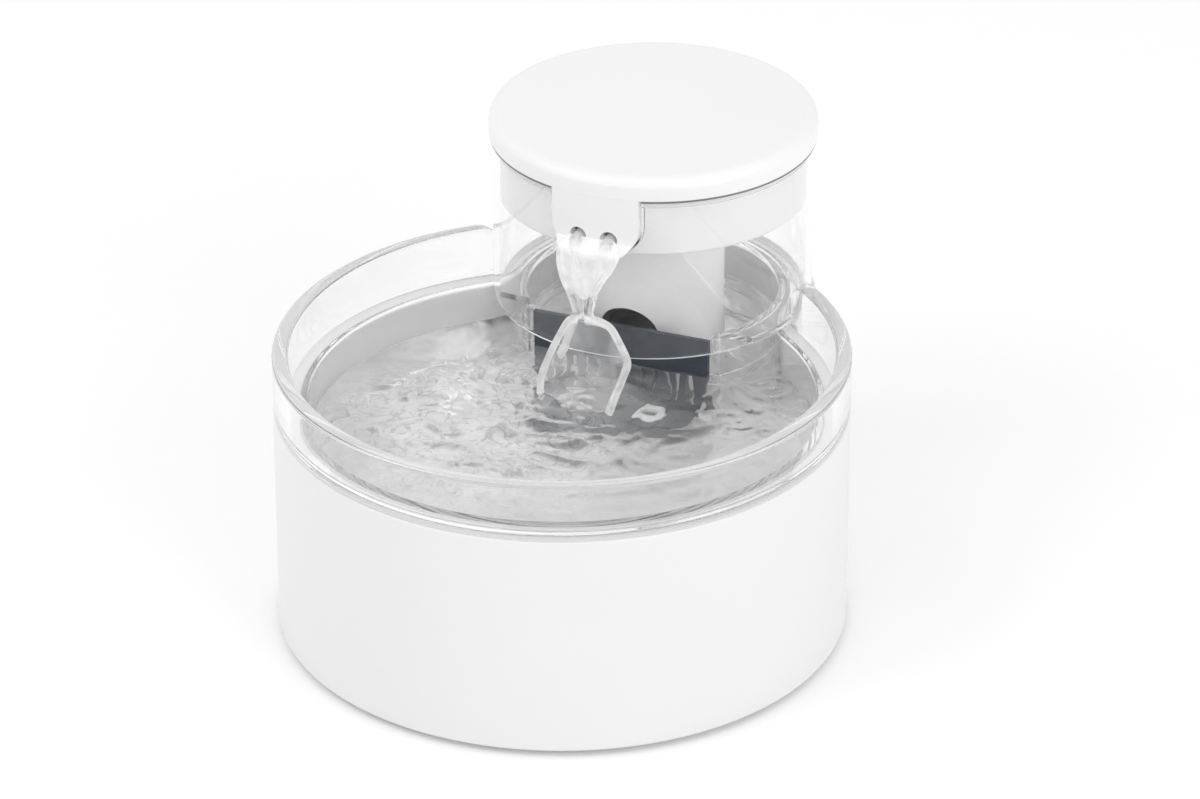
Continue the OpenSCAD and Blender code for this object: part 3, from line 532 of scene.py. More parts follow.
# %% Tongue and outlets
face_r, back_r = 66.95, 60.8
foot_half, corner_r, corner_z, corner_share, straight = 6.5, 12, 157.2, 0.4, 19.2
lip_z, lip_height, lip_out = 150.6, 3.2, 4.5
outlet_x, outlet_z, outlet_r = 6.5, 152.2, 3.6
deselect()
bpy.ops.mesh.primitive_grid_add(x_subdivisions=48, y_subdivisions=44, size=2)
tongue = bpy.context.object
for v in tongue.data.vertices:
    across, up = v.co.x, (v.co.y + 1) / 2
    swing = min(up / corner_share, 1) * pi / 2
    x = across * (foot_half + corner_r * sin(swing))
    z = corner_z - corner_r * cos(swing) + max(0.0, up - corner_share) / (1 - corner_share) * straight
    lip = max(0.0, min(1.0, (lip_z - z) / lip_height))
    r = face_r + lip_out * lip * lip * (3 - 2 * lip)
    v.co = Vector((x, tower_y - sqrt(r * r - x * x), z)) * mm
edit(tongue)
bpy.ops.mesh.extrude_region_move()
bpy.ops.object.mode_set(mode="OBJECT")
for v in tongue.data.vertices:
    if v.select:
        v.co.y = tower_y * mm - sqrt((back_r * mm) ** 2 - v.co.x ** 2)
face_out(tongue)
modify(tongue, "BEVEL", width=1.1 * mm, segments=4, limit_method="ANGLE", angle_limit=radians(55))
combine(lid, tongue, "UNION")
for side in (-1, 1):
    x = outlet_x * side
    combine(lid, bar("outlet", outlet_r, (x, -10, outlet_z), (x, 40, outlet_z)))
soften(lid, 40, even=True)
finish_piece(lid, "lid", "white_plastic", "lid_cap")

# %% [markdown]
# ## The seam under the lid
# A grey seal fills the step between the lid and the tower. Its dark tone paints in the shade
# of the seam as well, so from outside it is only a dark line; but it shows all round, so it
# is a real ring with a gap for the tongue.

# %% Seam under the lid
seam = turn("seam_ring", rounded([
    (66.7, tower_top, 0.2), (66.7, lid_low, 0.2), (63.75, lid_low, 0.1), (63.75, tower_top, 0.1)],
    steps=2, closed=True))
combine(seam, notch("seam_gap", low=160, corner=0))
soften(seam)
finish_piece(seam, "lid", "seam_grey", "lid_seal")

# %% [markdown]
# ## The pump
# The dark cap over the impeller shows through the column's arch. It is turned, and gets an
# arched inlet of its own and a hole for the riser tube.

# %% Pump housing
pump = turn("pump_cap", rounded([
    (26.0, 43.4, 0.5), (26.0, 105.0, 1.2), (0, 105.0, 0), (0, 103.0, 0), (24.0, 103.0, 0.8),
    (24.0, 43.4, 0.4)], hold=0.4, closed=True))
combine(pump, arch("inlet", 11, 66))
combine(pump, bar("riser_hole", 6.3, (0, riser_y, 90), (0, riser_y, 110)))
soften(pump, 40, even=True)
finish_piece(pump, "bowl", "pump_plastic", "pump_housing")

# %% [markdown]
# ## The strainer
# A slotted plate keeps hair away from the pump. It stands on a flat foot with round
# corners. One slot is modelled and an array makes the row, so that all are alike; the
# plate is bevelled before it is cut, because a bevel on every slot would only add faces.

# %% Strainer
cup_x, cup_y = 17.0, 27.8
slot_count, slot_pitch = 13, 5
plate = block("strainer_plate", (-37.95, 37.8, 45.4), (37.95, 40.0, 98.0))
foot = block("strainer_foot", (-35.0, 9.8, 45.4), (35.0, 38.5, 47.4))
bevel_edges(foot, 17.5, 14, lambda a, b: abs(a.z - b.z) > weld and max(a.y, b.y) < 10 * mm)
combine(plate, foot, "UNION")
modify(plate, "BEVEL", width=0.45 * mm, segments=2, limit_method="ANGLE", angle_limit=radians(50))
slots = block("slot", (-31.1, 35, 51.4), (-28.9, 43, 80.0), corner=1.0, corner_steps=3)
modify(slots, "ARRAY", count=slot_count, use_relative_offset=False, use_constant_offset=True,
       constant_offset_displace=(slot_pitch * mm, 0, 0))
combine(plate, slots)
for side in (-1, 1):
    combine(plate, bar("cup_hole", 4.05, (cup_x * side, cup_y, 40), (cup_x * side, cup_y, 50)))
soften(plate, 40, even=True)
finish_piece(plate, "bowl", "pump_plastic", "strainer")

# %% [markdown]
# ## Suction cups
# Two pale cups hold the foot on the floor of the tub. Under water each shows as a small
# white ring. One is turned, and the other is a copy with its own mesh, moved in edit mode
# so that its object stays at the origin.

# %% Suction cups
cup_section = rounded([
    (3.2, 50.0, 0.4), (7.0, 50.0, 0.9), (7.0, 47.5, 0.5), (3.95, 47.5, 0.3), (3.95, 45.4, 0.3),
    (9.0, 43.1, 0.3), (6.0, 43.1, 1.0), (3.2, 45.0, 0.4)], steps=3, closed=True)
left_cup = turn("left_cup", cup_section, centre=(-cup_x, cup_y), steps=48)
take(left_cup)
bpy.ops.object.duplicate()
right_cup = bpy.context.object
right_cup.name = right_cup.data.name = "right_cup"
edit(right_cup)
bpy.ops.transform.translate(value=(2 * cup_x * mm, 0, 0))
bpy.ops.object.mode_set(mode="OBJECT")
finish_piece(left_cup, "bowl", "pale_silicone", "suction_cups")
finish_piece(right_cup, "bowl", "pale_silicone")

# %% [markdown]
# ## Ripples
# Water is what a clear bowl is looked at through, so it is a real body with a real surface.
# Its height is a sum of waves: rings around the place where the stream falls in, bent by a
# slow drift, loops and crests where the water is lively, a fine shiver over all of it, and
# one heave around the splash. There are two lively places, and one calm spot over the right
# suction cup, so that its ring stays whole.

# %% Ripples
water_top = 82.0
splash = (0.0, 4.0)
ring_high, ring_gap, ring_fade = 0.75, 12.0, 40
heave_high, heave_at, heave_wide = 0.9, 13, 6
loop_high, crest_high, fine_high = 0.60, 6.5, 0.42
lively_places = ((1.0, (-18, -28), (82, 66)), (0.75, (64, 22), (34, 44)))
calm_share, calm_place = 0.9, ((28, 1), (14, 17))
drift_reach, sink = 9, 0.6


def wander(x, y, across, along, seed):
    return noise.noise(Vector((x * across, y * along, seed)))


def apart(x, y, centre, reach):
    return hypot((x - centre[0]) / reach[0], (y - centre[1]) / reach[1])


def ripple(x, y):
    drift = Vector((wander(x, y, 0.03, 0.03, 7.1), wander(x, y, 0.03, 0.03, 2.3)))
    wx, wy = x + drift_reach * drift.x, y + drift_reach * drift.y
    d = hypot(wx - splash[0], wy - splash[1])
    lively = max(0.0, *(most - apart(x, y, *place) ** 2 for most, *place in lively_places))
    rings = ring_high * sin(2 * pi * d / ring_gap) * exp(-d / ring_fade)
    loops = loop_high * sin(6.5 * wander(wx, wy, 0.036, 0.05, 4.0)) * (0.2 + lively)
    crests = (0.5 - abs(wander(wx, wy, 0.085, 0.11, 1.0))) ** 2 * crest_high * lively
    fine = fine_high * wander(wx, wy, 0.2, 0.27, 9.0) * (0.12 + lively)
    heave = heave_high * exp(-((d - heave_at) / heave_wide) ** 2)
    calm = 1 - calm_share * exp(-apart(x, y, *calm_place) ** 2)
    return (rings + loops + crests + fine + heave) * calm - sink


# %% [markdown]
# ## The body of water
# A fine grid is given its depth by an extrude, its top is moved by the ripples, and a copy
# of the tub's inside, a hair smaller than the plastic, trims it to shape.

# %% Body of water
pool, pool_y, pool_low = (214, 268), 2, 43.15
water_outline, trim_low, trim_high = (101.35, 56.35, 25.65), 30.0, 110.0
deselect()
bpy.ops.mesh.primitive_grid_add(x_subdivisions=200, y_subdivisions=240, size=1)
water = bpy.context.object
water.name = water.data.name = "water"
edit(water)
bpy.ops.transform.resize(value=(pool[0] * mm, pool[1] * mm, 1))
bpy.ops.transform.translate(value=(0, pool_y * mm, water_top * mm))
depth = (0, 0, -(water_top - pool_low) * mm)
bpy.ops.mesh.extrude_region_move(TRANSFORM_OT_translate={"value": depth})
bpy.ops.object.mode_set(mode="OBJECT")
for v in water.data.vertices:
    if v.co.z > (water_top + pool_low) / 2 * mm:
        v.co.z += ripple(v.co.x / mm, v.co.y / mm) * mm
face_out(water)
room = grow("tub_room", [keyhole_ring((*water_outline, z)) for z in (trim_low, trim_high)])
combine(water, room, "INTERSECT")
soften(water, 60)
finish_piece(water, "bowl", "clear_plastic")

# %% [markdown]
# ## Strands and skins
# Falling water is made of two things: strands, round and of changing thickness, and thin
# skins stretched between two of them. A strand is grown ring by ring along a smooth path.
# A skin is a grid laid between two paths, with a belly, and Solidify gives it thickness.

# %% Strands
def smooth_path(points, steps=10):
    path = []
    for i in range(len(points) - 1):
        p = [Vector(points[max(0, min(len(points) - 1, i + k))]) for k in (-1, 0, 1, 2)]
        for k in range(steps):
            t = k / steps
            curve = (2 * p[0] - 5 * p[1] + 4 * p[2] - p[3]) * t * t
            twist = (3 * p[1] - p[0] - 3 * p[2] + p[3]) * t ** 3
            path.append(0.5 * (2 * p[1] + (p[2] - p[0]) * t + curve + twist))
    return path + [Vector(points[-1])]


def strand(name, points, sides=14):
    path = smooth_path(points)
    rings = []
    out = Vector((1, 0, 0))
    for i, p in enumerate(path):
        ahead = path[min(i + 1, len(path) - 1)].xyz - path[max(i - 1, 0)].xyz
        ahead.normalize()
        out = (out - ahead * out.dot(ahead)).normalized()
        side = ahead.cross(out)
        centre, r = p.xyz, p[3]
        rings.append([centre + (out * cos(2 * pi * k / sides) + side * sin(2 * pi * k / sides)) * r
                      for k in range(sides)])
    return grow(name, rings)


def skin_between(name, left, right, thick, belly=0.0, across=24, steps=6):
    a, b = smooth_path(left, steps), smooth_path(right, steps)
    deselect()
    bpy.ops.mesh.primitive_grid_add(x_subdivisions=across, y_subdivisions=len(a) - 1, size=2)
    piece = bpy.context.object
    piece.name = piece.data.name = name
    for v in piece.data.vertices:
        u = (v.co.x + 1) / 2
        row = round((v.co.y + 1) / 2 * (len(a) - 1))
        p = a[row].lerp(b[row], u)
        p.y -= belly * 4 * u * (1 - u)
        v.co = p * mm
    return modify(piece, "SOLIDIFY", thickness=thick * mm, offset=0)


# %% [markdown]
# ## The falling water
# Two jets leave the outlets, run together over the lip into one thick thread, and open
# again into a thin sheet with swollen edges. These are the paths of the jets, of the two
# edges of the funnel at the lip, and of the two edges of the sheet, each with the radii
# that the water has along it.

# %% Paths of the stream
jet_path = [(6.5, 14, 151.2, 2.5), (6.5, 8, 151.0, 2.6), (6.4, 5.2, 150.4, 2.4), (6.0, 2.6, 148.2, 1.9),
            (5.0, 1.0, 143.5, 1.6), (3.0, -0.6, 134, 1.4), (1.2, -2.0, 122, 1.3)]
left_lip = [(-8.5, 6.1, 153.0), (-10.8, 4.6, 150.4), (-12.0, 1.7, 147.4), (-11.6, 0.8, 141.5),
            (-9.5, -0.2, 135.5), (-5.5, -1.3, 128.0), (-3.0, -1.8, 120.5)]
right_lip = [(8.5, 6.1, 153.0), (10.8, 4.6, 150.4), (12.0, 1.7, 147.4), (9.3, 0.5, 141.5),
             (5.8, -1.0, 136.0), (3.5, -2.3, 128.5), (1.9, -2.6, 120.5)]
left_edge = [(-2.8, -1.8, 120.6), (-7.2, -0.7, 117.6), (-10.8, 0.0, 111.5), (-14.2, 0.7, 104.5),
             (-17.4, 1.4, 97.0), (-19.8, 2.0, 90.5), (-20.8, 2.2, 85.0), (-20.6, 2.2, 79.8)]
right_edge = [(1.8, -2.8, 121.4), (8.0, -4.2, 121.6), (12.8, -5.2, 120.0), (16.6, -6.0, 114.6),
              (20.6, -6.9, 107.0), (18.6, -6.4, 99.4), (15.0, -5.6, 90.0), (11.4, -4.9, 79.8)]
edge_radii = (
    (left_lip, (0.7, 1.0, 1.3, 1.4, 1.4, 1.5, 1.7)),
    (right_lip, (0.7, 1.0, 1.3, 1.4, 1.5, 1.5, 1.7)),
    (left_edge, (1.6, 1.5, 1.4, 1.4, 1.4, 1.5, 1.6, 1.8)),
    (right_edge, (1.6, 1.4, 1.4, 1.4, 1.5, 1.4, 1.5, 1.8)))
print("the stream falls", round(left_lip[0][2] - left_edge[-1][2], 1), "mm")

# %% [markdown]
# ## Melting it into one body
# The strands and skins overlap, so a voxel remesh melts them into one skin of water. A
# little noise makes its face uneven and a smooth pass rounds it off.

# %% The stream
drop_size, uneven = 0.42, 0.35
pieces = [strand("jet", [(x * side, y, z, r) for x, y, z, r in jet_path]) for side in (-1, 1)]
pieces.append(skin_between("lip_skin", left_lip, right_lip, 1.1, 0.5))
pieces.append(skin_between("sheet", left_edge, right_edge, 1.0, 2.2))
for path, radii in edge_radii:
    pieces.append(strand("edge", [(*p, r) for p, r in zip(path, radii)]))
deselect()
for piece in pieces:
    piece.select_set(True)
bpy.context.view_layer.objects.active = pieces[0]
bpy.ops.object.join()
stream = bpy.context.object
stream.name = stream.data.name = "stream"
modify(stream, "REMESH", mode="VOXEL", voxel_size=drop_size * mm)
for v in stream.data.vertices:
    x, y, z = v.co / mm
    v.co.y += uneven * noise.noise(Vector((x * 0.16, y * 0.1, z * 0.10))) * mm
modify(stream, "SMOOTH", factor=0.5, iterations=5)
soften(stream, 180)
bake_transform(stream)
print("stream:", len(stream.data.polygons), "faces")

# %% [markdown]
# ## Node helpers
# Every finish is a small set of nodes on Object coordinates, so it stays on the piece when
# the piece moves. A mottle is soft noise, between spreads it over a range of values, and
# two_tones turns it into a colour. The noise seldom leaves the middle of its range.

# %% Node helpers
finishes = {}


def new_finish(name):
    finish = finishes[name] = bpy.data.materials.new(name)
    finish.use_nodes = True
    tree = finish.node_tree
    tree.nodes.clear()
    out = tree.nodes.new("ShaderNodeOutputMaterial")
    shader = tree.nodes.new("ShaderNodeBsdfPrincipled")
    place = tree.nodes.new("ShaderNodeTexCoord")
    tree.links.new(shader.outputs["BSDF"], out.inputs["Surface"])
    return tree, shader, place


def mottle(tree, place, scale, detail=3.0, distortion=0.0):
    cloud = tree.nodes.new("ShaderNodeTexNoise")
    cloud.inputs["Scale"].default_value = scale
    cloud.inputs["Detail"].default_value = detail
    cloud.inputs["Distortion"].default_value = distortion
    tree.links.new(place.outputs["Object"], cloud.inputs["Vector"])
    return cloud.outputs["Fac"]


def between(tree, source, low, high, lowest=0.3, highest=0.7):
    spread = tree.nodes.new("ShaderNodeMapRange")
    spread.inputs["From Min"].default_value, spread.inputs["From Max"].default_value = lowest, highest
    spread.inputs["To Min"].default_value, spread.inputs["To Max"].default_value = low, high
    tree.links.new(source, spread.inputs["Value"])
    return spread.outputs["Result"]


def two_tones(tree, source, dark, light):
    mix = tree.nodes.new("ShaderNodeMix")
    mix.data_type = "RGBA"
    mix.inputs[6].default_value = (*dark, 1)
    mix.inputs[7].default_value = (*light, 1)
    tree.links.new(source, mix.inputs[0])
    return mix.outputs[2]


def maths(tree, operation, first, second=None):
    step = tree.nodes.new("ShaderNodeMath")
    step.operation = operation
    tree.links.new(first, step.inputs[0])
    if isinstance(second, bpy.types.NodeSocket):
        tree.links.new(second, step.inputs[1])
    elif second is not None:
        step.inputs[1].default_value = second
    return step.outputs["Value"]


# %% [markdown]
# ## Moulded, rubber and metal finishes
# Moulded plastic gets a trace of mottling, uneven gloss and a very fine grain. Rubber,
# metal, board and filter are the same idea with other values: two close tones, a range of
# roughness, and the size and depth of the grain in millimetres. What is the same all over
# is written on the shader's own sockets.

# %% Moulded finishes
patches_per_metre, grain_strength, coat_roughness = 18, 0.3, 0.12


def moulded(name, dark, light, gloss, grain_size, grain_depth, coat=0.0, metal=0.0, sheen=0.0):
    tree, shader, place = new_finish(name)
    cloud = mottle(tree, place, patches_per_metre)
    tone = two_tones(tree, between(tree, cloud, 0, 1), dark, light)
    tree.links.new(tone, shader.inputs["Base Color"])
    tree.links.new(between(tree, cloud, *gloss), shader.inputs["Roughness"])
    grain = tree.nodes.new("ShaderNodeBump")
    grain.inputs["Strength"].default_value = grain_strength
    grain.inputs["Distance"].default_value = grain_depth * mm
    tree.links.new(mottle(tree, place, 1000 / grain_size, 2), grain.inputs["Height"])
    tree.links.new(grain.outputs["Normal"], shader.inputs["Normal"])
    shader.inputs["Metallic"].default_value = metal
    shader.inputs["Coat Weight"].default_value = coat
    shader.inputs["Coat Roughness"].default_value = coat_roughness
    shader.inputs["Sheen Weight"].default_value = sheen


moulded("white_gloss", (0.89, 0.89, 0.892), (0.905, 0.905, 0.907), (0.30, 0.36), 0.9, 0.012, coat=0.05)
moulded("base_white", (0.815, 0.812, 0.815), (0.828, 0.825, 0.828), (0.28, 0.33), 0.9, 0.012, coat=0.15)
moulded("white_satin", (0.875, 0.875, 0.876), (0.90, 0.90, 0.901), (0.36, 0.46), 0.8, 0.015)
moulded("white_core", (0.74, 0.75, 0.76), (0.80, 0.81, 0.82), (0.42, 0.52), 0.8, 0.02)
moulded("slate_plastic", (0.030, 0.038, 0.052), (0.050, 0.060, 0.080), (0.30, 0.42), 0.6, 0.03)
moulded("black_satin", (0.018, 0.018, 0.02), (0.03, 0.03, 0.033), (0.35, 0.5), 0.6, 0.03)
moulded("foot_rubber", (0.035, 0.035, 0.038), (0.06, 0.06, 0.064), (0.65, 0.8), 0.5, 0.05, sheen=0.2)
moulded("grey_silicone", (0.46, 0.47, 0.48), (0.54, 0.55, 0.56), (0.5, 0.62), 0.7, 0.03)
moulded("milky_silicone", (0.80, 0.81, 0.81), (0.86, 0.87, 0.87), (0.3, 0.42), 0.7, 0.02)
moulded("seal_silicone", (0.66, 0.66, 0.665), (0.72, 0.72, 0.725), (0.3, 0.42), 0.7, 0.02)
# dark tone: a real rubber seal, darkened so that it also paints in the shade of the seam
moulded("seam_rubber_and_shade", (0.17, 0.172, 0.176), (0.22, 0.222, 0.228), (0.5, 0.62), 0.5, 0.02)
moulded("plated_steel", (0.60, 0.61, 0.63), (0.68, 0.69, 0.70), (0.22, 0.34), 0.4, 0.01, metal=1.0)
moulded("core_steel", (0.34, 0.35, 0.37), (0.44, 0.45, 0.47), (0.38, 0.5), 0.35, 0.04, metal=1.0)
moulded("ground_steel", (0.70, 0.71, 0.72), (0.78, 0.78, 0.79), (0.14, 0.22), 0.3, 0.006, metal=1.0)
moulded("nickel", (0.66, 0.65, 0.62), (0.74, 0.73, 0.70), (0.10, 0.18), 0.5, 0.004, metal=1.0)
moulded("ferrite", (0.09, 0.09, 0.095), (0.14, 0.14, 0.145), (0.5, 0.62), 0.5, 0.05)
moulded("enamelled_copper", (0.50, 0.19, 0.08), (0.64, 0.28, 0.12), (0.22, 0.34), 0.5, 0.12, metal=1.0)
moulded("sintered_bronze", (0.46, 0.31, 0.15), (0.60, 0.42, 0.22), (0.38, 0.5), 0.3, 0.08, metal=1.0)
moulded("board_mask", (0.02, 0.16, 0.06), (0.04, 0.24, 0.10), (0.28, 0.4), 1.6, 0.03, coat=0.3)
moulded("red_cover", (0.42, 0.02, 0.018), (0.56, 0.035, 0.03), (0.34, 0.46), 0.6, 0.02)
moulded("grey_cover", (0.30, 0.30, 0.31), (0.38, 0.38, 0.39), (0.34, 0.46), 0.6, 0.02)
moulded("fired_ceramic", (0.84, 0.81, 0.74), (0.90, 0.88, 0.82), (0.26, 0.38), 0.3, 0.02)
moulded("charcoal", (0.008, 0.008, 0.008), (0.035, 0.035, 0.036), (0.6, 0.8), 1.4, 0.5)
moulded("open_foam", (0.28, 0.36, 0.46), (0.42, 0.50, 0.60), (0.85, 0.95), 0.9, 0.4, sheen=0.3)
print("finishes:", len(finishes))

# %% [markdown]
# ## Clear plastic and water
# Clear pieces bend what lies behind them, which is what makes them look solid. Their edges
# are painted a little darker than their faces where the view grazes them, as painted shade.
# A ray that only asks for light, from a lamp or from a matt surface, passes straight
# through, a little weakened, so that the inside of the bowl is lit through its walls without
# waiting for a caustic. A milky share scatters light instead of letting it through.

# %% Clear finishes
grazing_shade_blend, gloss_patch, water_ior = 0.35, 12.0, 1.333


def grey(level):
    return level, level, level


def clear(name, face, edge, ior, lets_through, gloss, milky=0.0):
    tree, shader, place = new_finish(name)
    shader.inputs["Transmission Weight"].default_value = 1.0 - milky
    shader.inputs["IOR"].default_value = ior
    # painted shade: the base colour turns to the darker edge tone where the view grazes the surface
    grazing_shade = tree.nodes.new("ShaderNodeLayerWeight")
    grazing_shade.inputs["Blend"].default_value = grazing_shade_blend
    tree.links.new(two_tones(tree, grazing_shade.outputs["Facing"], face, edge), shader.inputs["Base Color"])
    cloud = mottle(tree, place, 1000 / gloss_patch)
    tree.links.new(between(tree, cloud, *gloss), shader.inputs["Roughness"])
    path = tree.nodes.new("ShaderNodeLightPath")
    lit = maths(tree, "MAXIMUM", path.outputs["Is Shadow Ray"], path.outputs["Is Diffuse Ray"])
    through = tree.nodes.new("ShaderNodeBsdfTransparent")
    through.inputs["Color"].default_value = (*grey(lets_through), 1)
    blend = tree.nodes.new("ShaderNodeMixShader")
    tree.links.new(lit, blend.inputs[0])
    tree.links.new(shader.outputs["BSDF"], blend.inputs[1])
    tree.links.new(through.outputs["BSDF"], blend.inputs[2])
    tree.links.new(blend.outputs["Shader"], tree.nodes["Material Output"].inputs["Surface"])
    return tree, shader, place


tree, shader, place = clear("clear_plastic", grey(0.998), (0.985, 0.985, 0.986), 1.42, 0.982, (0.0, 0.03))
print("clear plastic:", len(tree.nodes), "nodes")

# %% [markdown]
# ## Foam and painted shade on the still water
# Moving water carries fine air near the splash: whitish patches. Thin dark lines are
# painted over them as painted shade, in place of the shade that the ripples bend into view.
# A line lies where a stretched noise crosses its middle value. Both fade out with the
# distance from the splash, and the patches take their share from what the water lets through.

# %% Painted shade lines and foam on the still water
foam_centre, foam_near, foam_far = (-0.030, -0.028, 0.082), 0.035, 0.085
shade_line_tone, shade_line_sharpness = (0.62, 0.62, 0.625), 30.0


def froth(tree, shader, foam, milky, share):
    cover = between(tree, foam, 1.0 - milky, 1.0 - milky - share, 0.0, 1.0)
    tree.links.new(cover, shader.inputs["Transmission Weight"])


still_milky, still_foam = 0.10, 0.42
tree, shader, place = clear("water", grey(0.985), grey(0.96), water_ior, 0.97, (0.0, 0.01), still_milky)
# painted shade: dark lines where the noise crosses its middle value, fading away from the splash
shade_lines = mottle(tree, place, 70, 2.5, 1.6)
for operation, number in (("SUBTRACT", 0.5), ("ABSOLUTE", None), ("MULTIPLY", -shade_line_sharpness),
                          ("ADD", 1.0), ("MAXIMUM", 0.0)):
    shade_lines = maths(tree, operation, shade_lines, number)
away = tree.nodes.new("ShaderNodeVectorMath")
away.operation = "DISTANCE"
away.inputs[1].default_value = foam_centre
tree.links.new(place.outputs["Object"], away.inputs[0])
fade = between(tree, away.outputs["Value"], 0.0, 1.0, foam_far, foam_near)
darken = tree.nodes.new("ShaderNodeMix")
darken.data_type, darken.blend_type = "RGBA", "MULTIPLY"
darken.inputs[0].default_value = 1.0
tree.links.new(shader.inputs["Base Color"].links[0].from_socket, darken.inputs[6])
tree.links.new(two_tones(tree, maths(tree, "MULTIPLY", shade_lines, fade), grey(1.0), shade_line_tone), darken.inputs[7])
tree.links.new(darken.outputs[2], shader.inputs["Base Color"])
foam = between(tree, mottle(tree, place, 26, 2.5, 1.5), 0.0, 1.0)
froth(tree, shader, maths(tree, "MULTIPLY", foam, fade), still_milky, still_foam)
print("still water:", len(tree.nodes), "nodes")

# %% [markdown]
# ## Two finishes for the stream
# The thin sheet is almost clear and has small patches of air. The thick funnel and the
# swollen edges hold more air and look whiter. Both are the same clear finish with other
# shares of milk and foam, and with patches of about a centimetre.

# %% Falling and foaming water
for name, roughest, milky, share, patch in (("falling_water", 0.01, 0.08, 0.20, 11.0),
                                            ("foaming_water", 0.02, 0.32, 0.30, 9.0)):
    tree, shader, place = clear(name, grey(0.99), grey(0.97), water_ior, 0.97, (0.0, roughest), milky)
    air = between(tree, mottle(tree, place, 1000 / patch, 3.0, 0.8), 0.0, 1.0)
    froth(tree, shader, air, milky, share)
print("finishes:", len(finishes))

# %% [markdown]
# ## Dressing the new pieces
# Every new piece takes its finish from one list, so that a finish can be changed on all its
# pieces at once, and a piece that was forgotten is easy to see.

# %% Dress the new pieces
def dress(piece, finish):
    piece.data.materials.clear()
    piece.data.materials.append(finishes[finish])


worn = {
    "base_white": [base], "white_gloss": [lid], "white_satin": [pipe, tray],
    "clear_plastic": [bowl, shell], "water": [water], "falling_water": [stream],
    "seam_rubber_and_shade": [seam], "slate_plastic": [pump, plate], "seal_silicone": [seal],
    "milky_silicone": [left_cup, right_cup]}
for finish, pieces in worn.items():
    for piece in pieces:
        dress(piece, finish)
print("new pieces:", sum(len(pieces) for pieces in worn.values()))

# %% [markdown]
# ## Where the stream foams
# The funnel under the outlets foams as a whole, down to a ragged line, and below it only
# what lies close to a swollen edge or to one trail of air across the sheet. A tree of
# points along these paths answers how near each face is.

# %% Foam on the stream
foam_trail = [(-3.5, -2.2, 119), (-5.0, -2.2, 115), (-7.0, -2.4, 111), (-8.0, -2.2, 107), (-10.5, -1.6, 102)]
foam_line, ragged, foam_reach = 0.131, 0.005, 1.9
airy = smooth_path(left_edge) + smooth_path(right_edge) + smooth_path(foam_trail)
swollen = KDTree(len(airy))
for i, point in enumerate(airy):
    swollen.insert(point, i)
swollen.balance()
stream.data.materials.append(finishes["foaming_water"])
for face in stream.data.polygons:
    line = foam_line + ragged * noise.noise(face.center / mm * 0.35)
    foaming = face.center.z > line or swollen.find(face.center / mm)[2] < foam_reach
    face.material_index = 1 if foaming else 0
print("foaming faces:", sum(face.material_index for face in stream.data.polygons))

# %% [markdown]
# ## Dressing the kept solids
# Screws, motor, board, impeller and filter keep the shape that they have in the model and
# only get their finish.

# %% Dress the kept solids
kept = {
    "white_satin": ["bottom_plate"],
    "white_core": ["magnet_carrier", "impeller", "filter_frame", "filter_cover"],
    "slate_plastic": ["eye_plate"], "black_satin": ["motor_end_cap", "power_jack"],
    "foot_rubber": ["rubber_feet"], "grey_silicone": ["riser_seal"], "milky_silicone": ["riser_tube"],
    "plated_steel": ["case_screws", "motor_can", "motor_bracket", "motor_screws", "board_screws", "jack_nut"],
    "core_steel": ["stator_core"], "ground_steel": ["motor_shaft", "impeller_pin"],
    "nickel": ["drive_magnets"], "ferrite": ["rotor_magnet", "impeller_magnet"],
    "enamelled_copper": ["stator_coils"], "sintered_bronze": ["motor_bushes"],
    "fired_ceramic": ["impeller_bush"], "board_mask": ["circuit_board"],
    "red_cover": ["supply_wires"], "grey_cover": ["motor_wires"],
    "charcoal": ["filter_carbon"], "open_foam": ["filter_foam"]}
for finish, names in kept.items():
    for name in names:
        dress(part[name], finish)
dressed = [name for names in kept.values() for name in names]
undressed = [name for name, o in part.items() if not o.hide_render and name not in dressed]
print("kept solids:", len(dressed), "undressed:", undressed)

# %% [markdown]
# ## The floor
# The floor is a plain white sheet. For the camera, also through glass and in reflections,
# it glows a little by itself, so that it is close to white and still keeps the soft
# shadow. To the light it is an ordinary pale surface.

# %% Floor
def looked_at(tree):
    path = tree.nodes.new("ShaderNodeLightPath")
    seen = path.outputs["Is Camera Ray"]
    for way in ("Is Glossy Ray", "Is Transmission Ray"):
        seen = maths(tree, "MAXIMUM", seen, path.outputs[way])
    return seen


floor_size, floor_glow = 9.0, 0.11
deselect()
bpy.ops.mesh.primitive_plane_add(size=floor_size, location=(0, 2.0, -0.0004))
floor = bpy.context.object
floor.name = "studio_floor"
tree, shader, place = new_finish("floor_white")
shader.inputs["Base Color"].default_value = (*grey(0.92), 1)
shader.inputs["Roughness"].default_value = 0.9
shader.inputs["Specular IOR Level"].default_value = 0.1
shader.inputs["Emission Color"].default_value = (*grey(1.0), 1)
tree.links.new(maths(tree, "MULTIPLY", looked_at(tree), floor_glow), shader.inputs["Emission Strength"])
dress(floor, "floor_white")
print("floor:", floor_size, "m wide")

# %% [markdown]
# ## Lamps
# One broad lamp stands above and to the left, and one to the right fills the shadow. A
# very weak small one behind puts a few glints on the water.

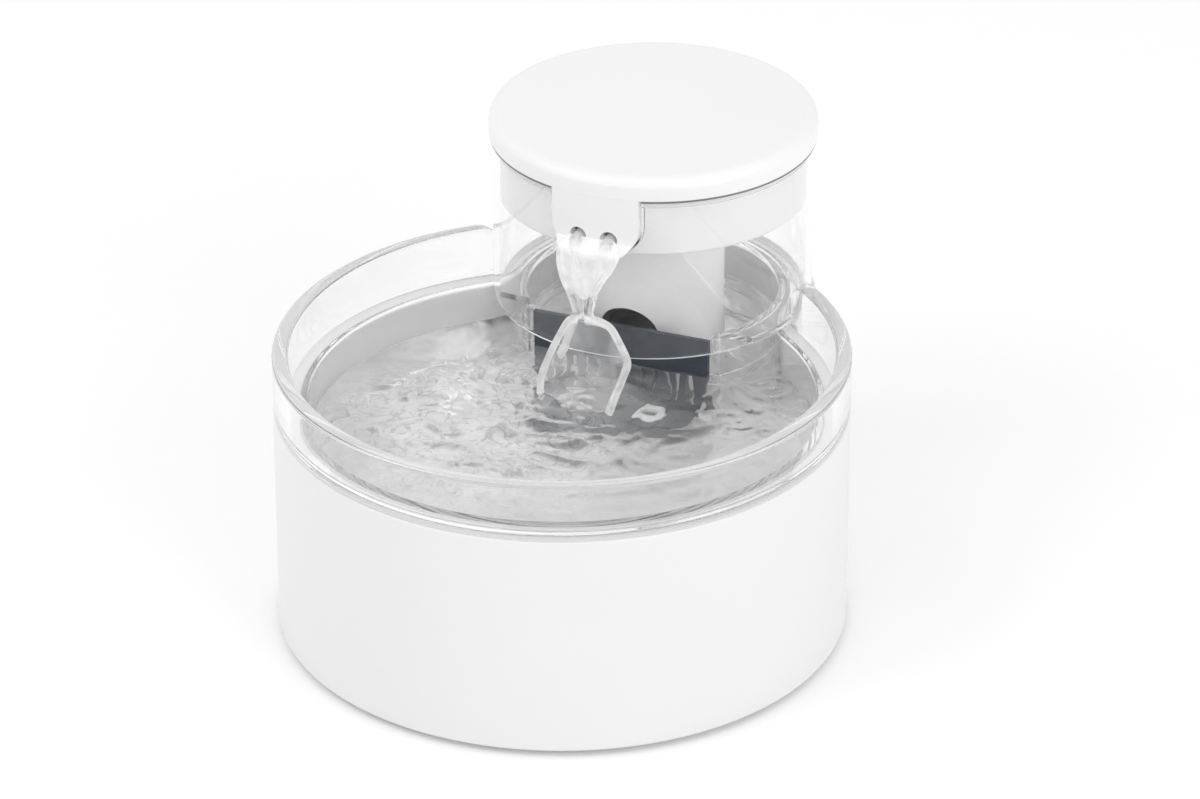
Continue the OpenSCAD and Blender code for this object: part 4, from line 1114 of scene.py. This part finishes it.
# %% Lamps
def lamp(name, place, aim, size, power):
    deselect()
    bpy.ops.object.light_add(type="AREA", location=place)
    light = bpy.context.object
    light.name = name
    light.data.shape = "RECTANGLE"
    light.data.size, light.data.size_y = size
    light.data.energy = power
    light.rotation_euler = (Vector(aim) - Vector(place)).to_track_quat("-Z", "Y").to_euler()
    print("lamp:", name, power, "W")


lamp("key", (-1.1, -1.1, 1.6), (0, 0, 0.08), (1.4, 1.4), 7.6)
lamp("fill", (1.5, -0.8, 0.7), (0, 0, 0.08), (1.2, 1.2), 7.0)
lamp("back", (-0.95, 1.45, 1.15), (0, 0.05, 0.1), (0.16, 0.12), 0.04)

# %% [markdown]
# ## The world
# Most of the light comes evenly from all around. The camera sees the world as plain white;
# to the light it is a little less, so that pale plastic keeps its tone.

# %% World
sky_strength = 0.85
world = bpy.data.worlds.new("studio")
bpy.context.scene.world = world
world.use_nodes = True
tree = world.node_tree
sky, white = tree.nodes["Background"], tree.nodes.new("ShaderNodeBackground")
for background, strength in ((sky, sky_strength), (white, 1.0)):
    background.inputs["Color"].default_value = (*grey(1.0), 1)
    background.inputs["Strength"].default_value = strength
choose = tree.nodes.new("ShaderNodeMixShader")
tree.links.new(looked_at(tree), choose.inputs[0])
tree.links.new(sky.outputs["Background"], choose.inputs[1])
tree.links.new(white.outputs["Background"], choose.inputs[2])
tree.links.new(choose.outputs["Shader"], tree.nodes["World Output"].inputs["Surface"])
print("sky:", sky_strength)

# %% [markdown]
# ## Bounces
# Light runs a long way inside clear walls. Light that is mirrored back inside a wall counts
# as glossy, and the usual four such bounces would leave its edges black, so there are many.
# No caustics are needed, because the clear finishes let the light through by themselves.

# %% Bounces
scene = bpy.context.scene
scene.view_settings.view_transform = "Standard"
scene.cycles.max_bounces = 64
scene.cycles.transmission_bounces = 60
scene.cycles.glossy_bounces = 60
scene.cycles.transparent_max_bounces = 24
scene.cycles.caustics_reflective = False
scene.cycles.caustics_refractive = False
print("bounces:", scene.cycles.max_bounces)
